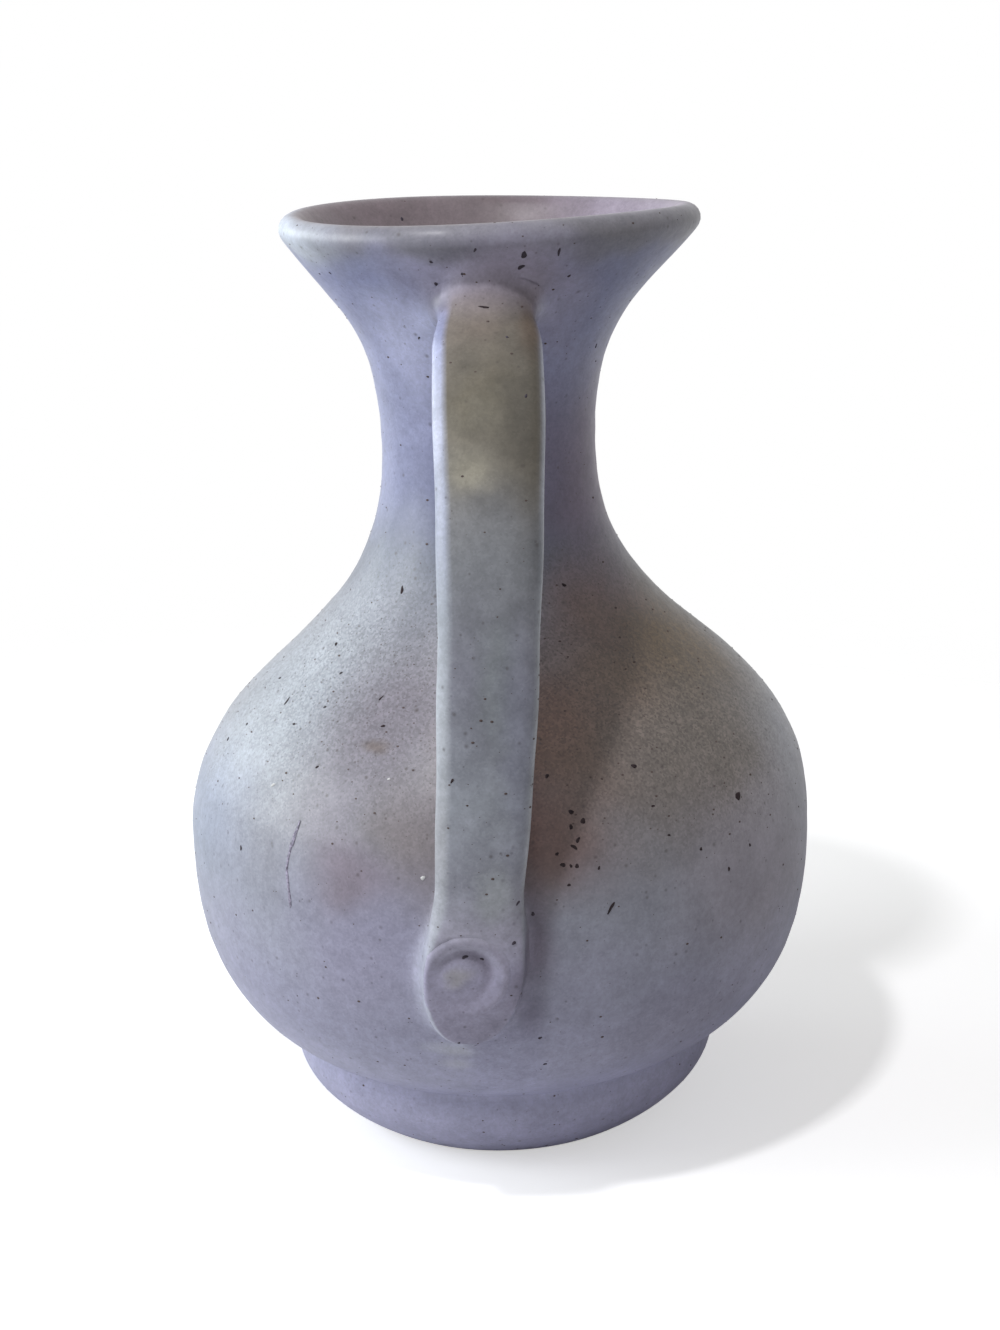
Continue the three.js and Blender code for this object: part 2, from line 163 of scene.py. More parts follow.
foot_middle = ((FOOT_RADIUS + CREASE_RADIUS) / 2 + FOOT_SWELL, FOOT_HEIGHT / 2)
foot_side = bezier((FOOT_RADIUS, 0), foot_middle, crease)
bowl_side = bezier(
    crease,
    crease + BOWL_PULLS[0] * bowl_rise * leaning(BOWL_ANGLE),
    belly - BOWL_PULLS[1] * bowl_rise * up,
    belly,
)
shoulder_side = bezier(
    belly,
    belly + SHOULDER_PULLS[0] * shoulder_rise * up,
    waist - SHOULDER_PULLS[1] * shoulder_rise * up,
    waist,
)
flare_side = bezier(
    waist,
    waist + FLARE_PULLS[0] * flare_rise * up,
    flare_end - FLARE_PULLS[1] * flare_rise * leaning(FLARE_ANGLE),
    flare_end,
)
wall_line = np.vstack([foot_side, bowl_side[1:], shoulder_side[1:], flare_side[1:]])


def wall_radius(height):
    """The outer wall's radius at a height."""
    return np.interp(height, wall_line[:, 1], wall_line[:, 0])


print("outer outline:", len(wall_line), "points")

# %% Helpers that step evenly along a line and soften it
FINE_STEP = 0.00025


def smooth_step(low, high, value):
    """0 below low, 1 above high, and an eased ramp between."""
    share = np.clip((value - low) / (high - low), 0, 1)
    return share * share * (3 - 2 * share)


def travelled(points):
    """How far along a line each of its points lies."""
    return np.concatenate([[0], np.cumsum(np.linalg.norm(np.diff(points, axis=0), axis=1))])


def resample(points, spacing):
    """The same line with a new step, which may change along it."""
    lengths = np.linalg.norm(np.diff(points[:, :2], axis=0), axis=1)
    spacing = np.broadcast_to(spacing, len(points))
    load = np.concatenate([[0], np.cumsum(2 * lengths / (spacing[1:] + spacing[:-1]))])
    wanted = np.linspace(0, load[-1], int(round(load[-1])) + 1)
    return np.column_stack([np.interp(wanted, load, column) for column in points.T])


def soften(points, reach):
    """Rounds every corner of a line that starts and ends on the axis."""
    count = int(3 * reach / FINE_STEP)
    weights = np.exp(-0.5 * (np.arange(-count, count + 1) * FINE_STEP / reach) ** 2)
    weights /= weights.sum()
    mirror = np.array([-1, 1])
    padded = np.vstack([points[count:0:-1] * mirror, points, points[-2 : -count - 2 : -1] * mirror])
    return np.column_stack([np.convolve(column, weights, "valid") for column in padded.T])


print("step along the outline:", FINE_STEP / MILLIMETRE, "mm")

# %% Close the outline over the lip, down the inside and under the foot
WALL = 0.005
LIP_POINTS = 40
LIP_THICKENING = 0.014
FLOOR_HEIGHT = 0.017
FLOOR_FLAT = 0.016
# How far the inside keeps its direction at the belly and at the floor, as shares of drop and run.
INSIDE_PULLS = (0.54, 0.43)
FOOT_RING_WIDTH = 0.0085
RECESS_HEIGHT = 0.009
RECESS_SLOPE = 0.0015
SOFTENING = 0.0008

roll_angles = np.linspace(-FLARE_ANGLE, math.pi - FLARE_ANGLE, LIP_POINTS)
lip_roll = lip_centre + LIP_ROLL * np.column_stack([np.cos(roll_angles), np.sin(roll_angles)])
upper_wall = np.vstack([shoulder_side, flare_side[1:]])
wall_steps = np.gradient(upper_wall, axis=0)
inward = np.column_stack([-wall_steps[:, 1], wall_steps[:, 0]])
inward /= np.linalg.norm(wall_steps, axis=1)[:, None]
near_lip = smooth_step(flare_end[1] - LIP_THICKENING, flare_end[1], upper_wall[:, 1])
thickness = WALL + (2 * LIP_ROLL - WALL) * near_lip
upper_inside = (upper_wall + inward * thickness[:, None])[::-1]

inside_belly = belly - (WALL, 0)
floor_edge = np.array([FLOOR_FLAT, FLOOR_HEIGHT])
inside_drop = BELLY_HEIGHT - FLOOR_HEIGHT
floor_run = inside_belly[0] - FLOOR_FLAT
bowl_inside = bezier(
    inside_belly,
    inside_belly - INSIDE_PULLS[0] * inside_drop * up,
    floor_edge + (INSIDE_PULLS[1] * floor_run, 0),
    floor_edge,
)
inside_line = np.vstack([upper_inside[1:], bowl_inside[1:], [(0, FLOOR_HEIGHT)]])
ring_inner = FOOT_RADIUS - FOOT_RING_WIDTH
underside = [(0, RECESS_HEIGHT), (ring_inner - RECESS_SLOPE, RECESS_HEIGHT), (ring_inner, 0)]
outline = np.vstack([underside, wall_line, lip_roll[1:], inside_line])
outline = soften(resample(outline, FINE_STEP), SOFTENING)
outline[[0, -1], 0] = 0
print("whole outline:", len(outline), "points, top at", round(outline[:, 1].max() / MILLIMETRE, 2), "mm")

# %% [markdown]
# ## The wheel, as Geometry Nodes
# The body follows one rule all the way round, so a Geometry Nodes tree is the wheel. It lays out
# a grid with one column per step of the turn and one row per outline point, reads each row's
# radius and height from the outline with Sample Index, and bends the grid round the axis. The
# columns crowd towards the handles, where the surface has most to do. A one-dimensional noise on
# the height gives the faint throwing rings, and Merge by Distance closes the seam and the poles.


# %% Helpers for node trees
def new_tree(name, kind, inputs, outputs):
    """A node group with named sockets, with its input and output nodes."""
    tree = bpy.data.node_groups.new(name, kind)
    for way, sockets in (("INPUT", inputs), ("OUTPUT", outputs)):
        for socket_name, socket_type in sockets.items():
            tree.interface.new_socket(socket_name, in_out=way, socket_type="NodeSocket" + socket_type)
    return tree, tree.nodes.new("NodeGroupInput").outputs, tree.nodes.new("NodeGroupOutput").inputs


def add_node(tree, kind, inputs=None, **settings):
    """A node with its settings, and its inputs linked to sockets or set to values."""
    node = tree.nodes.new(kind)
    for name, value in settings.items():
        setattr(node, name, value)
    for name, value in (inputs or {}).items():
        if isinstance(value, bpy.types.NodeSocket):
            tree.links.new(value, node.inputs[name])
        else:
            node.inputs[name].default_value = value
    return node


def math_node(tree, operation, *values):
    """The result of one Math node."""
    return add_node(tree, "ShaderNodeMath", dict(enumerate(values)), operation=operation).outputs[0]


def run_tree(thing, tree, values):
    """Runs a Geometry Nodes tree on an object and leaves the result as a plain mesh."""
    modifier = thing.modifiers.new(tree.name, "NODES")
    modifier.node_group = tree
    inputs = [item for item in tree.interface.items_tree if item.in_out == "INPUT"]
    identifiers = {item.name: item.identifier for item in inputs}
    for name, value in values.items():
        modifier[identifiers[name]] = value
    evaluated = thing.evaluated_get(bpy.context.evaluated_depsgraph_get())
    mesh = bpy.data.meshes.new_from_object(evaluated)
    thing.modifiers.remove(modifier)
    thing.data = mesh


print("node helpers ready")

# %% Lay out the wheel's grid
wheel_inputs = {
    "Outline": "Geometry",
    "Columns": "Int",
    "Crowding": "Float",
    "Ring Height": "Float",
    "Rings per Metre": "Float",
    "Glaze": "Material",
}
wheel, given, made = new_tree("throwing_wheel", "GeometryNodeTree", wheel_inputs, {"Wall": "Geometry"})
outline_size = add_node(wheel, "GeometryNodeAttributeDomainSize", {0: given["Outline"]}).outputs
row_count = outline_size["Point Count"]
column_count = math_node(wheel, "ADD", given["Columns"], 1)
grid_inputs = {"Size X": 1, "Size Y": 1, "Vertices X": column_count, "Vertices Y": row_count}
grid = add_node(wheel, "GeometryNodeMeshGrid", grid_inputs).outputs["Mesh"]
grid_place = add_node(wheel, "GeometryNodeInputPosition").outputs[0]
grid_across = add_node(wheel, "ShaderNodeSeparateXYZ", {0: grid_place}).outputs
row_share = math_node(wheel, "ADD", grid_across["Y"], 0.5)
last_row = math_node(wheel, "SUBTRACT", row_count, 1)
row = math_node(wheel, "ROUND", math_node(wheel, "MULTIPLY", row_share, last_row))


def at_outline_row(value, data_type):
    """A value of the outline's point that belongs to each row of the grid."""
    inputs = {"Geometry": given["Outline"], "Value": value, "Index": row}
    return add_node(wheel, "GeometryNodeSampleIndex", inputs, data_type=data_type).outputs[0]


row_point = at_outline_row(grid_place, "FLOAT_VECTOR")
inside_input = add_node(wheel, "GeometryNodeInputNamedAttribute", {"Name": "inside"}, data_type="FLOAT")
row_inside = at_outline_row(inside_input.outputs[0], "FLOAT")
print("wheel's grid:", len(wheel.nodes), "nodes")

# %% Bend the grid round the axis and seal it
RINGLESS_MIDDLE = 0.02
SEAM_GAP = 2e-6

section = add_node(wheel, "ShaderNodeSeparateXYZ", {0: row_point}).outputs
even_turn = math_node(wheel, "MULTIPLY", math_node(wheel, "ADD", grid_across["X"], 0.5), 2 * math.pi)
double_turn = math_node(wheel, "SINE", math_node(wheel, "MULTIPLY", even_turn, 2))
turn = math_node(wheel, "MULTIPLY_ADD", double_turn, given["Crowding"], even_turn)
ring_height = math_node(wheel, "MULTIPLY", section["Z"], given["Rings per Metre"])
ring_inputs = {"W": ring_height, "Scale": 1, "Detail": 1}
ring_noise = add_node(wheel, "ShaderNodeTexNoise", ring_inputs, noise_dimensions="1D").outputs[0]
ring_swing = math_node(wheel, "SUBTRACT", ring_noise, 0.5)
ring_rise = math_node(wheel, "MULTIPLY", ring_swing, given["Ring Height"])
off_axis = math_node(wheel, "MINIMUM", math_node(wheel, "MULTIPLY", section["X"], 1 / RINGLESS_MIDDLE), 1)
radius = math_node(wheel, "MULTIPLY_ADD", ring_rise, off_axis, section["X"])
bent_inputs = {
    "X": math_node(wheel, "MULTIPLY", radius, math_node(wheel, "COSINE", turn)),
    "Y": math_node(wheel, "MULTIPLY", radius, math_node(wheel, "SINE", turn)),
    "Z": section["Z"],
}
bent = add_node(wheel, "ShaderNodeCombineXYZ", bent_inputs).outputs[0]

marked_inputs = {"Geometry": grid, "Name": "inside", "Value": row_inside}
marked = add_node(
    wheel, "GeometryNodeStoreNamedAttribute", marked_inputs, data_type="FLOAT", domain="POINT"
).outputs[0]
spun = add_node(wheel, "GeometryNodeSetPosition", {"Geometry": marked, "Position": bent}).outputs[0]
seam_inputs = {"Geometry": spun, "Distance": SEAM_GAP}
sealed = add_node(wheel, "GeometryNodeMergeByDistance", seam_inputs).outputs[0]
smooth = add_node(wheel, "GeometryNodeSetShadeSmooth", {"Geometry": sealed}).outputs[0]
real = add_node(wheel, "GeometryNodeRealizeInstances", {"Geometry": smooth}).outputs[0]
glaze_inputs = {"Geometry": real, "Material": given["Glaze"]}
glazed = add_node(wheel, "GeometryNodeSetMaterial", glaze_inputs).outputs[0]
wheel.links.new(glazed, made["Wall"])
print("whole wheel:", len(wheel.nodes), "nodes")

# %% Choose the outline's rows
OUTSIDE_STEP = 0.0011
HIDDEN_STEP = 0.0024
LIP_INSIDE = 0.010
FLOOR_TOUCH = 0.0005
CROWN_EASE = 0.002

travel = travelled(outline)
past_crown = travel - travel[outline[:, 1].argmax()]
ring_start = np.argmax(outline[:, 1] < FLOOR_TOUCH)
seen = (np.arange(len(outline)) >= ring_start) & (past_crown < LIP_INSIDE)
inside = smooth_step(-CROWN_EASE, CROWN_EASE, past_crown)
outline_rows = resample(np.column_stack([outline, inside]), np.where(seen, OUTSIDE_STEP, HIDDEN_STEP))

outline_mesh = bpy.data.meshes.new("body_outline")
outline_points = [(from_axis, 0, height) for from_axis, height, _ in outline_rows]
outline_edges = [(i, i + 1) for i in range(len(outline_points) - 1)]
outline_mesh.from_pydata(outline_points, outline_edges, [])
outline_mesh.attributes.new("inside", "FLOAT", "POINT").data.foreach_set("value", outline_rows[:, 2])
print("rows:", len(outline_rows))


# %% Helpers that read and write a mesh
def read_points(mesh):
    """A mesh's vertices as an array."""
    points = np.empty(3 * len(mesh.vertices), np.float32)
    mesh.vertices.foreach_get("co", points)
    return points.reshape(-1, 3).astype(float)


def write_points(mesh, points):
    """Moves a mesh's vertices."""
    mesh.vertices.foreach_set("co", points.astype(np.float32).ravel())
    mesh.update()


def volume(mesh):
    """The space that a closed mesh holds, negative if its faces point in."""
    mesh.calc_loop_triangles()
    corners = np.empty(3 * len(mesh.loop_triangles), np.int32)
    mesh.loop_triangles.foreach_get("vertices", corners)
    a, b, c = read_points(mesh)[corners.reshape(-1, 3).T]
    return np.einsum("ij,ij->i", a, np.cross(b, c)).sum() / 6


def face_out(mesh):
    """Turns a closed mesh's faces outwards."""
    if volume(mesh) < 0:
        mesh.flip_normals()


print("mesh helpers ready")

# %% Throw the body
CUBIC_CENTIMETRE = 1e-6
COLUMNS = 240
CROWDING = 0.17
RING_HEIGHT = 0.00022
RINGS_PER_METRE = 160

satin_glaze = bpy.data.materials.new("satin_glaze")
body = bpy.data.objects.new("glazed_body", outline_mesh)
scene.collection.objects.link(body)
wheel_values = {
    "Columns": COLUMNS,
    "Crowding": CROWDING,
    "Ring Height": RING_HEIGHT,
    "Rings per Metre": RINGS_PER_METRE,
    "Glaze": satin_glaze,
}
run_tree(body, wheel, wheel_values)
face_out(body.data)
print("body:", len(body.data.polygons), "faces, clay in cm3:", round(volume(body.data) / CUBIC_CENTIMETRE))

# %% [markdown]
# ## The pull of the hand
# No thrown pot is true. This one leans a little one way at the shoulder and the other way at the
# neck, and its rim dips in a shallow saddle. An eased table of sideways shifts by height and two
# waves round the wall, added to the vertices, are enough, and they keep the mesh closed.

# %% Lean the body and warp its rim
# The axis strays to +X by these amounts at these heights.
LEAN = {
    0.022: -0.0006,
    0.045: -0.0005,
    0.070: 0,
    0.095: 0.0008,
    0.108: 0.0012,
    0.122: 0.0003,
    0.140: -0.0004,
    0.165: -0.0003,
    0.190: 0,
    0.207: 0.0013,
}
RIM_START = 0.190
RIM_SADDLE = 0.00056
WOBBLE = 0.00025
# Each wave of the wobble: strength, waves round, turn per metre of height, start.
WOBBLE_WAVES = [(1, 3, 60, 0), (0.7, 2, -90, 1)]


def lean(height):
    """How far the axis strays to +X at a height, with an eased step between the listed heights."""
    heights = np.array(list(LEAN))
    shifts = np.array(list(LEAN.values()))
    spot = np.clip(np.searchsorted(heights, height) - 1, 0, len(heights) - 2)
    share = smooth_step(heights[spot], heights[spot + 1], height)
    return shifts[spot] + share * (shifts[spot + 1] - shifts[spot])


def pull(points):
    """How the hand moved points of the true turned form."""
    turn = np.arctan2(points[:, 1], points[:, 0])
    height = points[:, 2]
    rim = smooth_step(RIM_START, VASE_HEIGHT, height)
    wave = np.zeros(len(points))
    for strong, waves, rise, start in WOBBLE_WAVES:
        wave += strong * np.sin(waves * turn + rise * height + start)
    swell = WOBBLE * wave / BELLY_RADIUS
    sideways = points[:, 0] * swell + lean(height)
    saddle = -RIM_SADDLE * rim * np.sin(2 * turn)
    return np.column_stack([sideways, points[:, 1] * swell, saddle])


true_points = read_points(body.data)
write_points(body.data, true_points + pull(true_points))
lip_lean = lean(np.array([VASE_HEIGHT]))[0]
print("lip leans by", round(float(lip_lean) / MILLIMETRE, 2), "mm")

# %% [markdown]
# ## The strap's path
# A pulled handle is a strap of wet clay that is pressed on under the lip, bends out like an ear,
# drops almost straight, and is pressed on again at the belly in a round pad. Its centreline is
# two Bezier curves in the plane of the radius and the height. Both ends are described in the same
# terms as the wall, so that they meet it.

# %% Lay the strap's path
ROOT_HEIGHT = 0.192
ROOT_REACH = 0.024
ROOT_DEPTH = 0.004
STANDOFF = 0.0038
UPRIGHT_HEIGHT = 0.1052
TURN_HEIGHT = 0.045
DROP_EASE = 0.024
LANDING_EASE = 0.020
PAD_HEIGHT = 0.062
PAD_TIP = 0.0177
PAD_TIP_STANDOFF = 0.0005
SLOPE_STEP = 0.001
PATH_STEPS = 200

tip_height = PAD_HEIGHT - PAD_TIP
tip = np.array([wall_radius(tip_height) + PAD_TIP_STANDOFF, tip_height])
tip_slope = np.array([wall_radius(tip_height + SLOPE_STEP) - wall_radius(tip_height), SLOPE_STEP])
tip_slope /= np.linalg.norm(tip_slope)
upright = np.array([BELLY_RADIUS + STANDOFF, UPRIGHT_HEIGHT])
root = np.array([wall_radius(ROOT_HEIGHT) - ROOT_DEPTH, ROOT_HEIGHT])
root_pull = np.array([wall_radius(ROOT_HEIGHT) + ROOT_REACH, ROOT_HEIGHT])
ear = bezier(root, root_pull, upright + TURN_HEIGHT * up, upright, steps=PATH_STEPS)
landing = bezier(upright, upright - DROP_EASE * up, tip + LANDING_EASE * tip_slope, tip, steps=PATH_STEPS)
strap_path = np.vstack([ear, landing[1:]])
print("strap's furthest reach:", round(strap_path[:, 0].max() / MILLIMETRE, 1), "mm from the axis")

# %% [markdown]
# ## The strap's section
# Fingers squeeze a wet strap thinner towards its edges, so its section is an oblong with round
# corners and a crowned face. It narrows just under the lip, is slimmest over the pad, and drifts to
# the left on its way down. These sizes follow the height, and a slow waver of the edges keeps them
# from looking cut.

# %% Give the strap its sizes
ROOT_WIDTH = 0.0226
ROOT_NARROWING = 0.28
ROOT_NARROW_RUN = 0.020
STRAP_WAIST = 0.0184
STRAP_THICK = 0.007
STRAP_CORNER = 0.0033
STRAP_CROWN = 0.32
STRAP_DRIFT = 0.0065
PAD_WIDTH = 0.0206
PAD_NECK = 0.0184
PAD_THICK = 0.0064
PAD_CORNER = 0.0011
PAD_CROWN_LEFT = 0.12
PAD_CROWN_RIGHT = 0.16
PAD_TIP_THICK = 0.0044
# What the squared shares of width and thickness never fall below at the tip.
TIP_LEAST_WIDTH = 0.0009
TIP_LEAST_THICK = 0.004
TIP_BLUNTNESS = 8
ROUNDEST_CORNER = 0.9
EDGE_WAVER = 0.0002
WAVER_FAST = 170
WAVER_SLOW = 61
WAVER_START = 0.6
print("strap's waist:", round(STRAP_WAIST / MILLIMETRE, 1), "mm wide")

# %% Find the strap's shape at each step
FIELD_STEP = 0.0003


def strap_at(spacing):
    """The strap's places, directions and sizes at even steps along its path."""
    spots = resample(strap_path, spacing)
    along = np.gradient(spots, axis=0)
    along /= np.linalg.norm(along, axis=1)[:, None]
    height = spots[:, 1]
    below_pad = np.clip((PAD_HEIGHT - height) / PAD_TIP, 0, 1)
    tip_round = np.sqrt(np.maximum(1 - below_pad**2, TIP_LEAST_WIDTH))
    width_heights = [PAD_HEIGHT, PAD_HEIGHT + PAD_NECK, ROOT_HEIGHT]
    full_width = np.interp(height, width_heights, [PAD_WIDTH, STRAP_WAIST, ROOT_WIDTH])
    full_width *= 1 - ROOT_NARROWING * smooth_step(ROOT_NARROW_RUN, 0, spacing * np.arange(len(spots)))
    waver = EDGE_WAVER * np.sin(WAVER_FAST * height + WAVER_START) * np.sin(WAVER_SLOW * height)
    width = full_width * tip_round / 2 + waver * (below_pad == 0)
    pad_thick = PAD_THICK + (PAD_TIP_THICK - PAD_THICK) * below_pad
    on_pad = smooth_step(PAD_HEIGHT + PAD_NECK, PAD_HEIGHT, height)
    thick = (STRAP_THICK + (pad_thick - STRAP_THICK) * on_pad) / 2
    thick *= np.sqrt(np.maximum(1 - below_pad**TIP_BLUNTNESS, TIP_LEAST_THICK))
    corner = STRAP_CORNER + (PAD_CORNER - STRAP_CORNER) * on_pad
    return {
        "spot": spots,
        "along": along,
        "out": np.column_stack([-along[:, 1], along[:, 0]]),
        "side": -STRAP_DRIFT * ((ROOT_HEIGHT - height) / (ROOT_HEIGHT - PAD_HEIGHT)) ** 2,
        "width": width,
        "thick": thick,
        "corner": np.minimum(corner, ROUNDEST_CORNER * np.minimum(width, thick)),
        "crown_left": STRAP_CROWN + (PAD_CROWN_LEFT - STRAP_CROWN) * on_pad,
        "crown_right": STRAP_CROWN + (PAD_CROWN_RIGHT - STRAP_CROWN) * on_pad,
    }


def crowned(across, width, left, right):
    """How much of its thickness the strap keeps at a place across it, and how fast that changes."""
    crown = np.where(across < 0, left, right)
    share = np.clip(across / width, -1, 1)
    return 1 - crown * share**2, -2 * crown * share / width


fine_strap = strap_at(FIELD_STEP)
field_steps = len(fine_strap["side"])
print("strap:", field_steps, "steps, about", round(FIELD_STEP * field_steps / MILLIMETRE), "mm long")

# %% [markdown]
# ## Luting, as distances
# Where a handle is luted on, wet clay is worked into the corner until wall and strap run into
# each other. A boolean union would leave a hard line there. Here two functions say how far a
# point is from the wall and from the strap, and a smooth minimum of the two is the surface with
# the corner filled. Wall and handle stay separate meshes: the vertices of each are pushed out
# along their normals on to that one surface, and each dives just under the other past the middle
# of the fillet, so that they cross once and never lie face to face.

# %% Distance to the wall
COARSE_STEP = 0.0012

coarse_wall = resample(np.vstack([wall_line, lip_roll[1:]]), COARSE_STEP)


def wall_distance(points):
    """How far points stand outside the body's wall, negative inside it."""
    true = points - pull(points)
    spun_points = np.column_stack([np.hypot(true[:, 0], true[:, 1]), true[:, 2]])
    spans = np.diff(coarse_wall, axis=0)
    lengths = np.linalg.norm(spans, axis=1)
    outward = np.column_stack([spans[:, 1], -spans[:, 0]]) / lengths[:, None]
    offsets = spun_points[:, None, :] - coarse_wall[:-1]
    share = np.clip((offsets * spans).sum(2) / lengths**2, 0, 1)
    gaps = offsets - share[:, :, None] * spans
    squares = (gaps**2).sum(2)
    nearest = squares.argmin(1)
    each = np.arange(len(points))
    side = np.sign((gaps[each, nearest] * outward[nearest]).sum(1))
    return side * np.sqrt(squares[each, nearest])


pad_radius = np.interp(-PAD_HEIGHT, -fine_strap["spot"][:, 1], fine_strap["spot"][:, 0])
pad_spot = np.array([[-STRAP_DRIFT, -pad_radius, PAD_HEIGHT]])
print("pad's middle stands", round(wall_distance(pad_spot)[0] / MILLIMETRE, 1), "mm off the wall")


# %% Distance to the strap
def strap_distance(points):
    """How far points stand outside the front strap, negative inside it."""
    flat = np.column_stack([-points[:, 1], points[:, 2]])
    spots = fine_strap["spot"]
    squares = (flat**2).sum(1)[:, None] - 2 * flat @ spots.T + (spots**2).sum(1)
    nearest = squares.argmin(1)
    here = {name: values[nearest] for name, values in fine_strap.items()}
    offset = flat - here["spot"]
    corner = here["corner"]
    from_middle = points[:, 0] - here["side"]
    kept, _ = crowned(from_middle, here["width"], here["crown_left"], here["crown_right"])
    across = np.abs(from_middle) - here["width"] + corner
    outward = np.abs((offset * here["out"]).sum(1)) / kept - here["thick"] + corner
    rounded = np.hypot(np.maximum(across, 0), np.maximum(outward, 0))
    flat_part = rounded + np.minimum(np.maximum(across, outward), 0) - corner
    at_end = (nearest == 0) | (nearest == len(spots) - 1)
    past_end = np.where(at_end, np.abs((offset * here["along"]).sum(1)), 0)
    return np.where(past_end > 0, np.hypot(np.maximum(flat_part, 0), past_end), flat_part)


print("from there to the strap's skin:", round(strap_distance(pad_spot)[0] / MILLIMETRE, 1), "mm")

# %% Width of the filled corner
# Each pair of places is where a change begins and where it ends.
ROOT_FILLET = 0.0125
ROOT_FILLET_LESS = 0.0095
ROOT_RIGHT_SIDE = (0.002, 0.012)
ROOT_LEFT_SIDE = (-0.004, -0.010)
ROOT_TOP = (0.183, 0.193)
PAD_FILLET = 0.0056
PAD_FILLET_RIGHT = 0.0040
PAD_LEFT_TO_RIGHT = (-0.004, 0.004)
PAD_TO_ROOT = (0.075, 0.165)


def smooth_min(first, second, blend):
    """The lower of two distances, with a round fillet where they are alike."""
    overlap = np.maximum(blend - np.abs(first - second), 0) / blend
    return np.minimum(first, second) - overlap**2 * blend / 4


def fillet_width(points):
    """How widely the corner is filled: less at the pad, and less right and upper left of the root."""
    across = points[:, 0]
    height = points[:, 2]
    pad_right = smooth_step(*PAD_LEFT_TO_RIGHT, across)
    round_pad = PAD_FILLET + (PAD_FILLET_RIGHT - PAD_FILLET) * pad_right
    upper_left = smooth_step(*ROOT_LEFT_SIDE, across) * smooth_step(*ROOT_TOP, height)
    less = np.maximum(smooth_step(*ROOT_RIGHT_SIDE, across), upper_left)
    round_root = ROOT_FILLET + (ROOT_FILLET_LESS - ROOT_FILLET) * less
    return round_pad + (round_root - round_pad) * smooth_step(*PAD_TO_ROOT, height)


def strap_share(points):
    """0 on the wall, 1 on the strap, with a ramp over the fillet between them."""
    return smooth_step(-1, 1, (wall_distance(points) - strap_distance(points)) / fillet_width(points))


print("fillet at the pad:", round(fillet_width(pad_spot)[0] / MILLIMETRE, 1), "mm wide")

# %% Push points out on to the filled corner
TUCK = 0.0005
TUCK_EASE = 0.5
JOIN_EASE = 0.1
MARCH_STEPS = 16
NORMAL_STEP = 0.0003
NORMAL_FADE = (1.0, 0.6)


def luted(points, normals, other_distance):
    """Points pushed out on to the filled corner between their own surface and another."""
    blend = fillet_width(points)
    outside = smooth_step(-JOIN_EASE * blend, JOIN_EASE * blend, other_distance(points))
    push = np.zeros(len(points))
    for _ in range(MARCH_STEPS):
        spots = points + push[:, None] * normals
        gap = smooth_min(push, other_distance(spots), blend)
        push = np.clip(push - gap, 0, blend / 2)
    push *= outside
    spots = points + push[:, None] * normals
    past_middle = (push - other_distance(spots)) / blend
    push -= TUCK * smooth_step(0, TUCK_EASE, past_middle)
    return points + push[:, None] * normals


def joined_normals(points, normals):
    """Normals of the filled corner, so that light runs over the join without a line."""
    slopes = []
    for axis in NORMAL_STEP * np.eye(3):
        ends = [
            smooth_min(wall_distance(spots), strap_distance(spots), fillet_width(spots))
            for spots in (points - axis, points + axis)
        ]
        slopes.append(ends[1] - ends[0])
    slopes = np.column_stack(slopes)
    slopes /= np.linalg.norm(slopes, axis=1)[:, None]
    apart = np.abs(wall_distance(points) - strap_distance(points)) / fillet_width(points)
    mixed = normals + smooth_step(*NORMAL_FADE, apart)[:, None] * (slopes - normals)
    return mixed / np.linalg.norm(mixed, axis=1)[:, None]


print("each point marches out in", MARCH_STEPS, "steps")


# %% Helpers for values on vertices
def turned_round(points):
    """Points turned half round the axis, as the rear handle is."""
    return points * (-1, -1, 1)


def read_normals(mesh):
    """A mesh's vertex normals as an array."""
    normals = np.empty(3 * len(mesh.vertices), np.float32)
    mesh.vertex_normals.foreach_get("vector", normals)
    return normals.reshape(-1, 3).astype(float)


def read_values(mesh, name):
    """A mesh's own number for each vertex."""
    values = np.empty(len(mesh.vertices), np.float32)
    mesh.attributes[name].data.foreach_get("value", values)
    return values


def mark(mesh, name, values):
    """Gives each vertex a number that materials and trees can read."""
    attribute = mesh.attributes.new(name, "FLOAT", "POINT")
    attribute.data.foreach_set("value", np.asarray(values, np.float32))


print("vertex helpers ready")

# %% Fill the corners on the body's side
BARELY_INSIDE = 0.01
NEAR_STRAP = 0.030
FACE_EDGE = 0.0095
FACE_MIDDLE = 0.0055

body_points = read_points(body.data)
body_normals = read_normals(body.data)
body_inside = read_values(body.data, "inside")
outside_face = (body_inside < BARELY_INSIDE) & (body_points[:, 2] > FOOT_HEIGHT)
body_strap_share = np.zeros(len(body_points))
body_face_share = np.zeros(len(body_points))
near_handles = []
for turn_points in (np.copy, turned_round):
    local_points = turn_points(body_points)
    close = outside_face & (np.abs(local_points[:, 0]) < NEAR_STRAP) & (local_points[:, 1] < 0)
    close[close] = strap_distance(local_points[close]) < 2 * ROOT_FILLET
    moved = luted(local_points[close], turn_points(body_normals)[close], strap_distance)
    body_points[close] = turn_points(moved)
    body_strap_share[close] = strap_share(moved)
    body_face_share[close] = smooth_step(FACE_EDGE, FACE_MIDDLE, np.abs(moved[:, 0]))
    near_handles.append((turn_points, close))
    print("body vertices near a handle:", int(close.sum()))
write_points(body.data, body_points)
mark(body.data, "on_strap", body_strap_share)
mark(body.data, "on_face", body_face_share)
body_normals = read_normals(body.data)
for turn_points, close in near_handles:
    joined = joined_normals(turn_points(body_points[close]), turn_points(body_normals[close]))
    body_normals[close] = turn_points(joined)
body.data.normals_split_custom_set_from_vertices(body_normals.tolist())

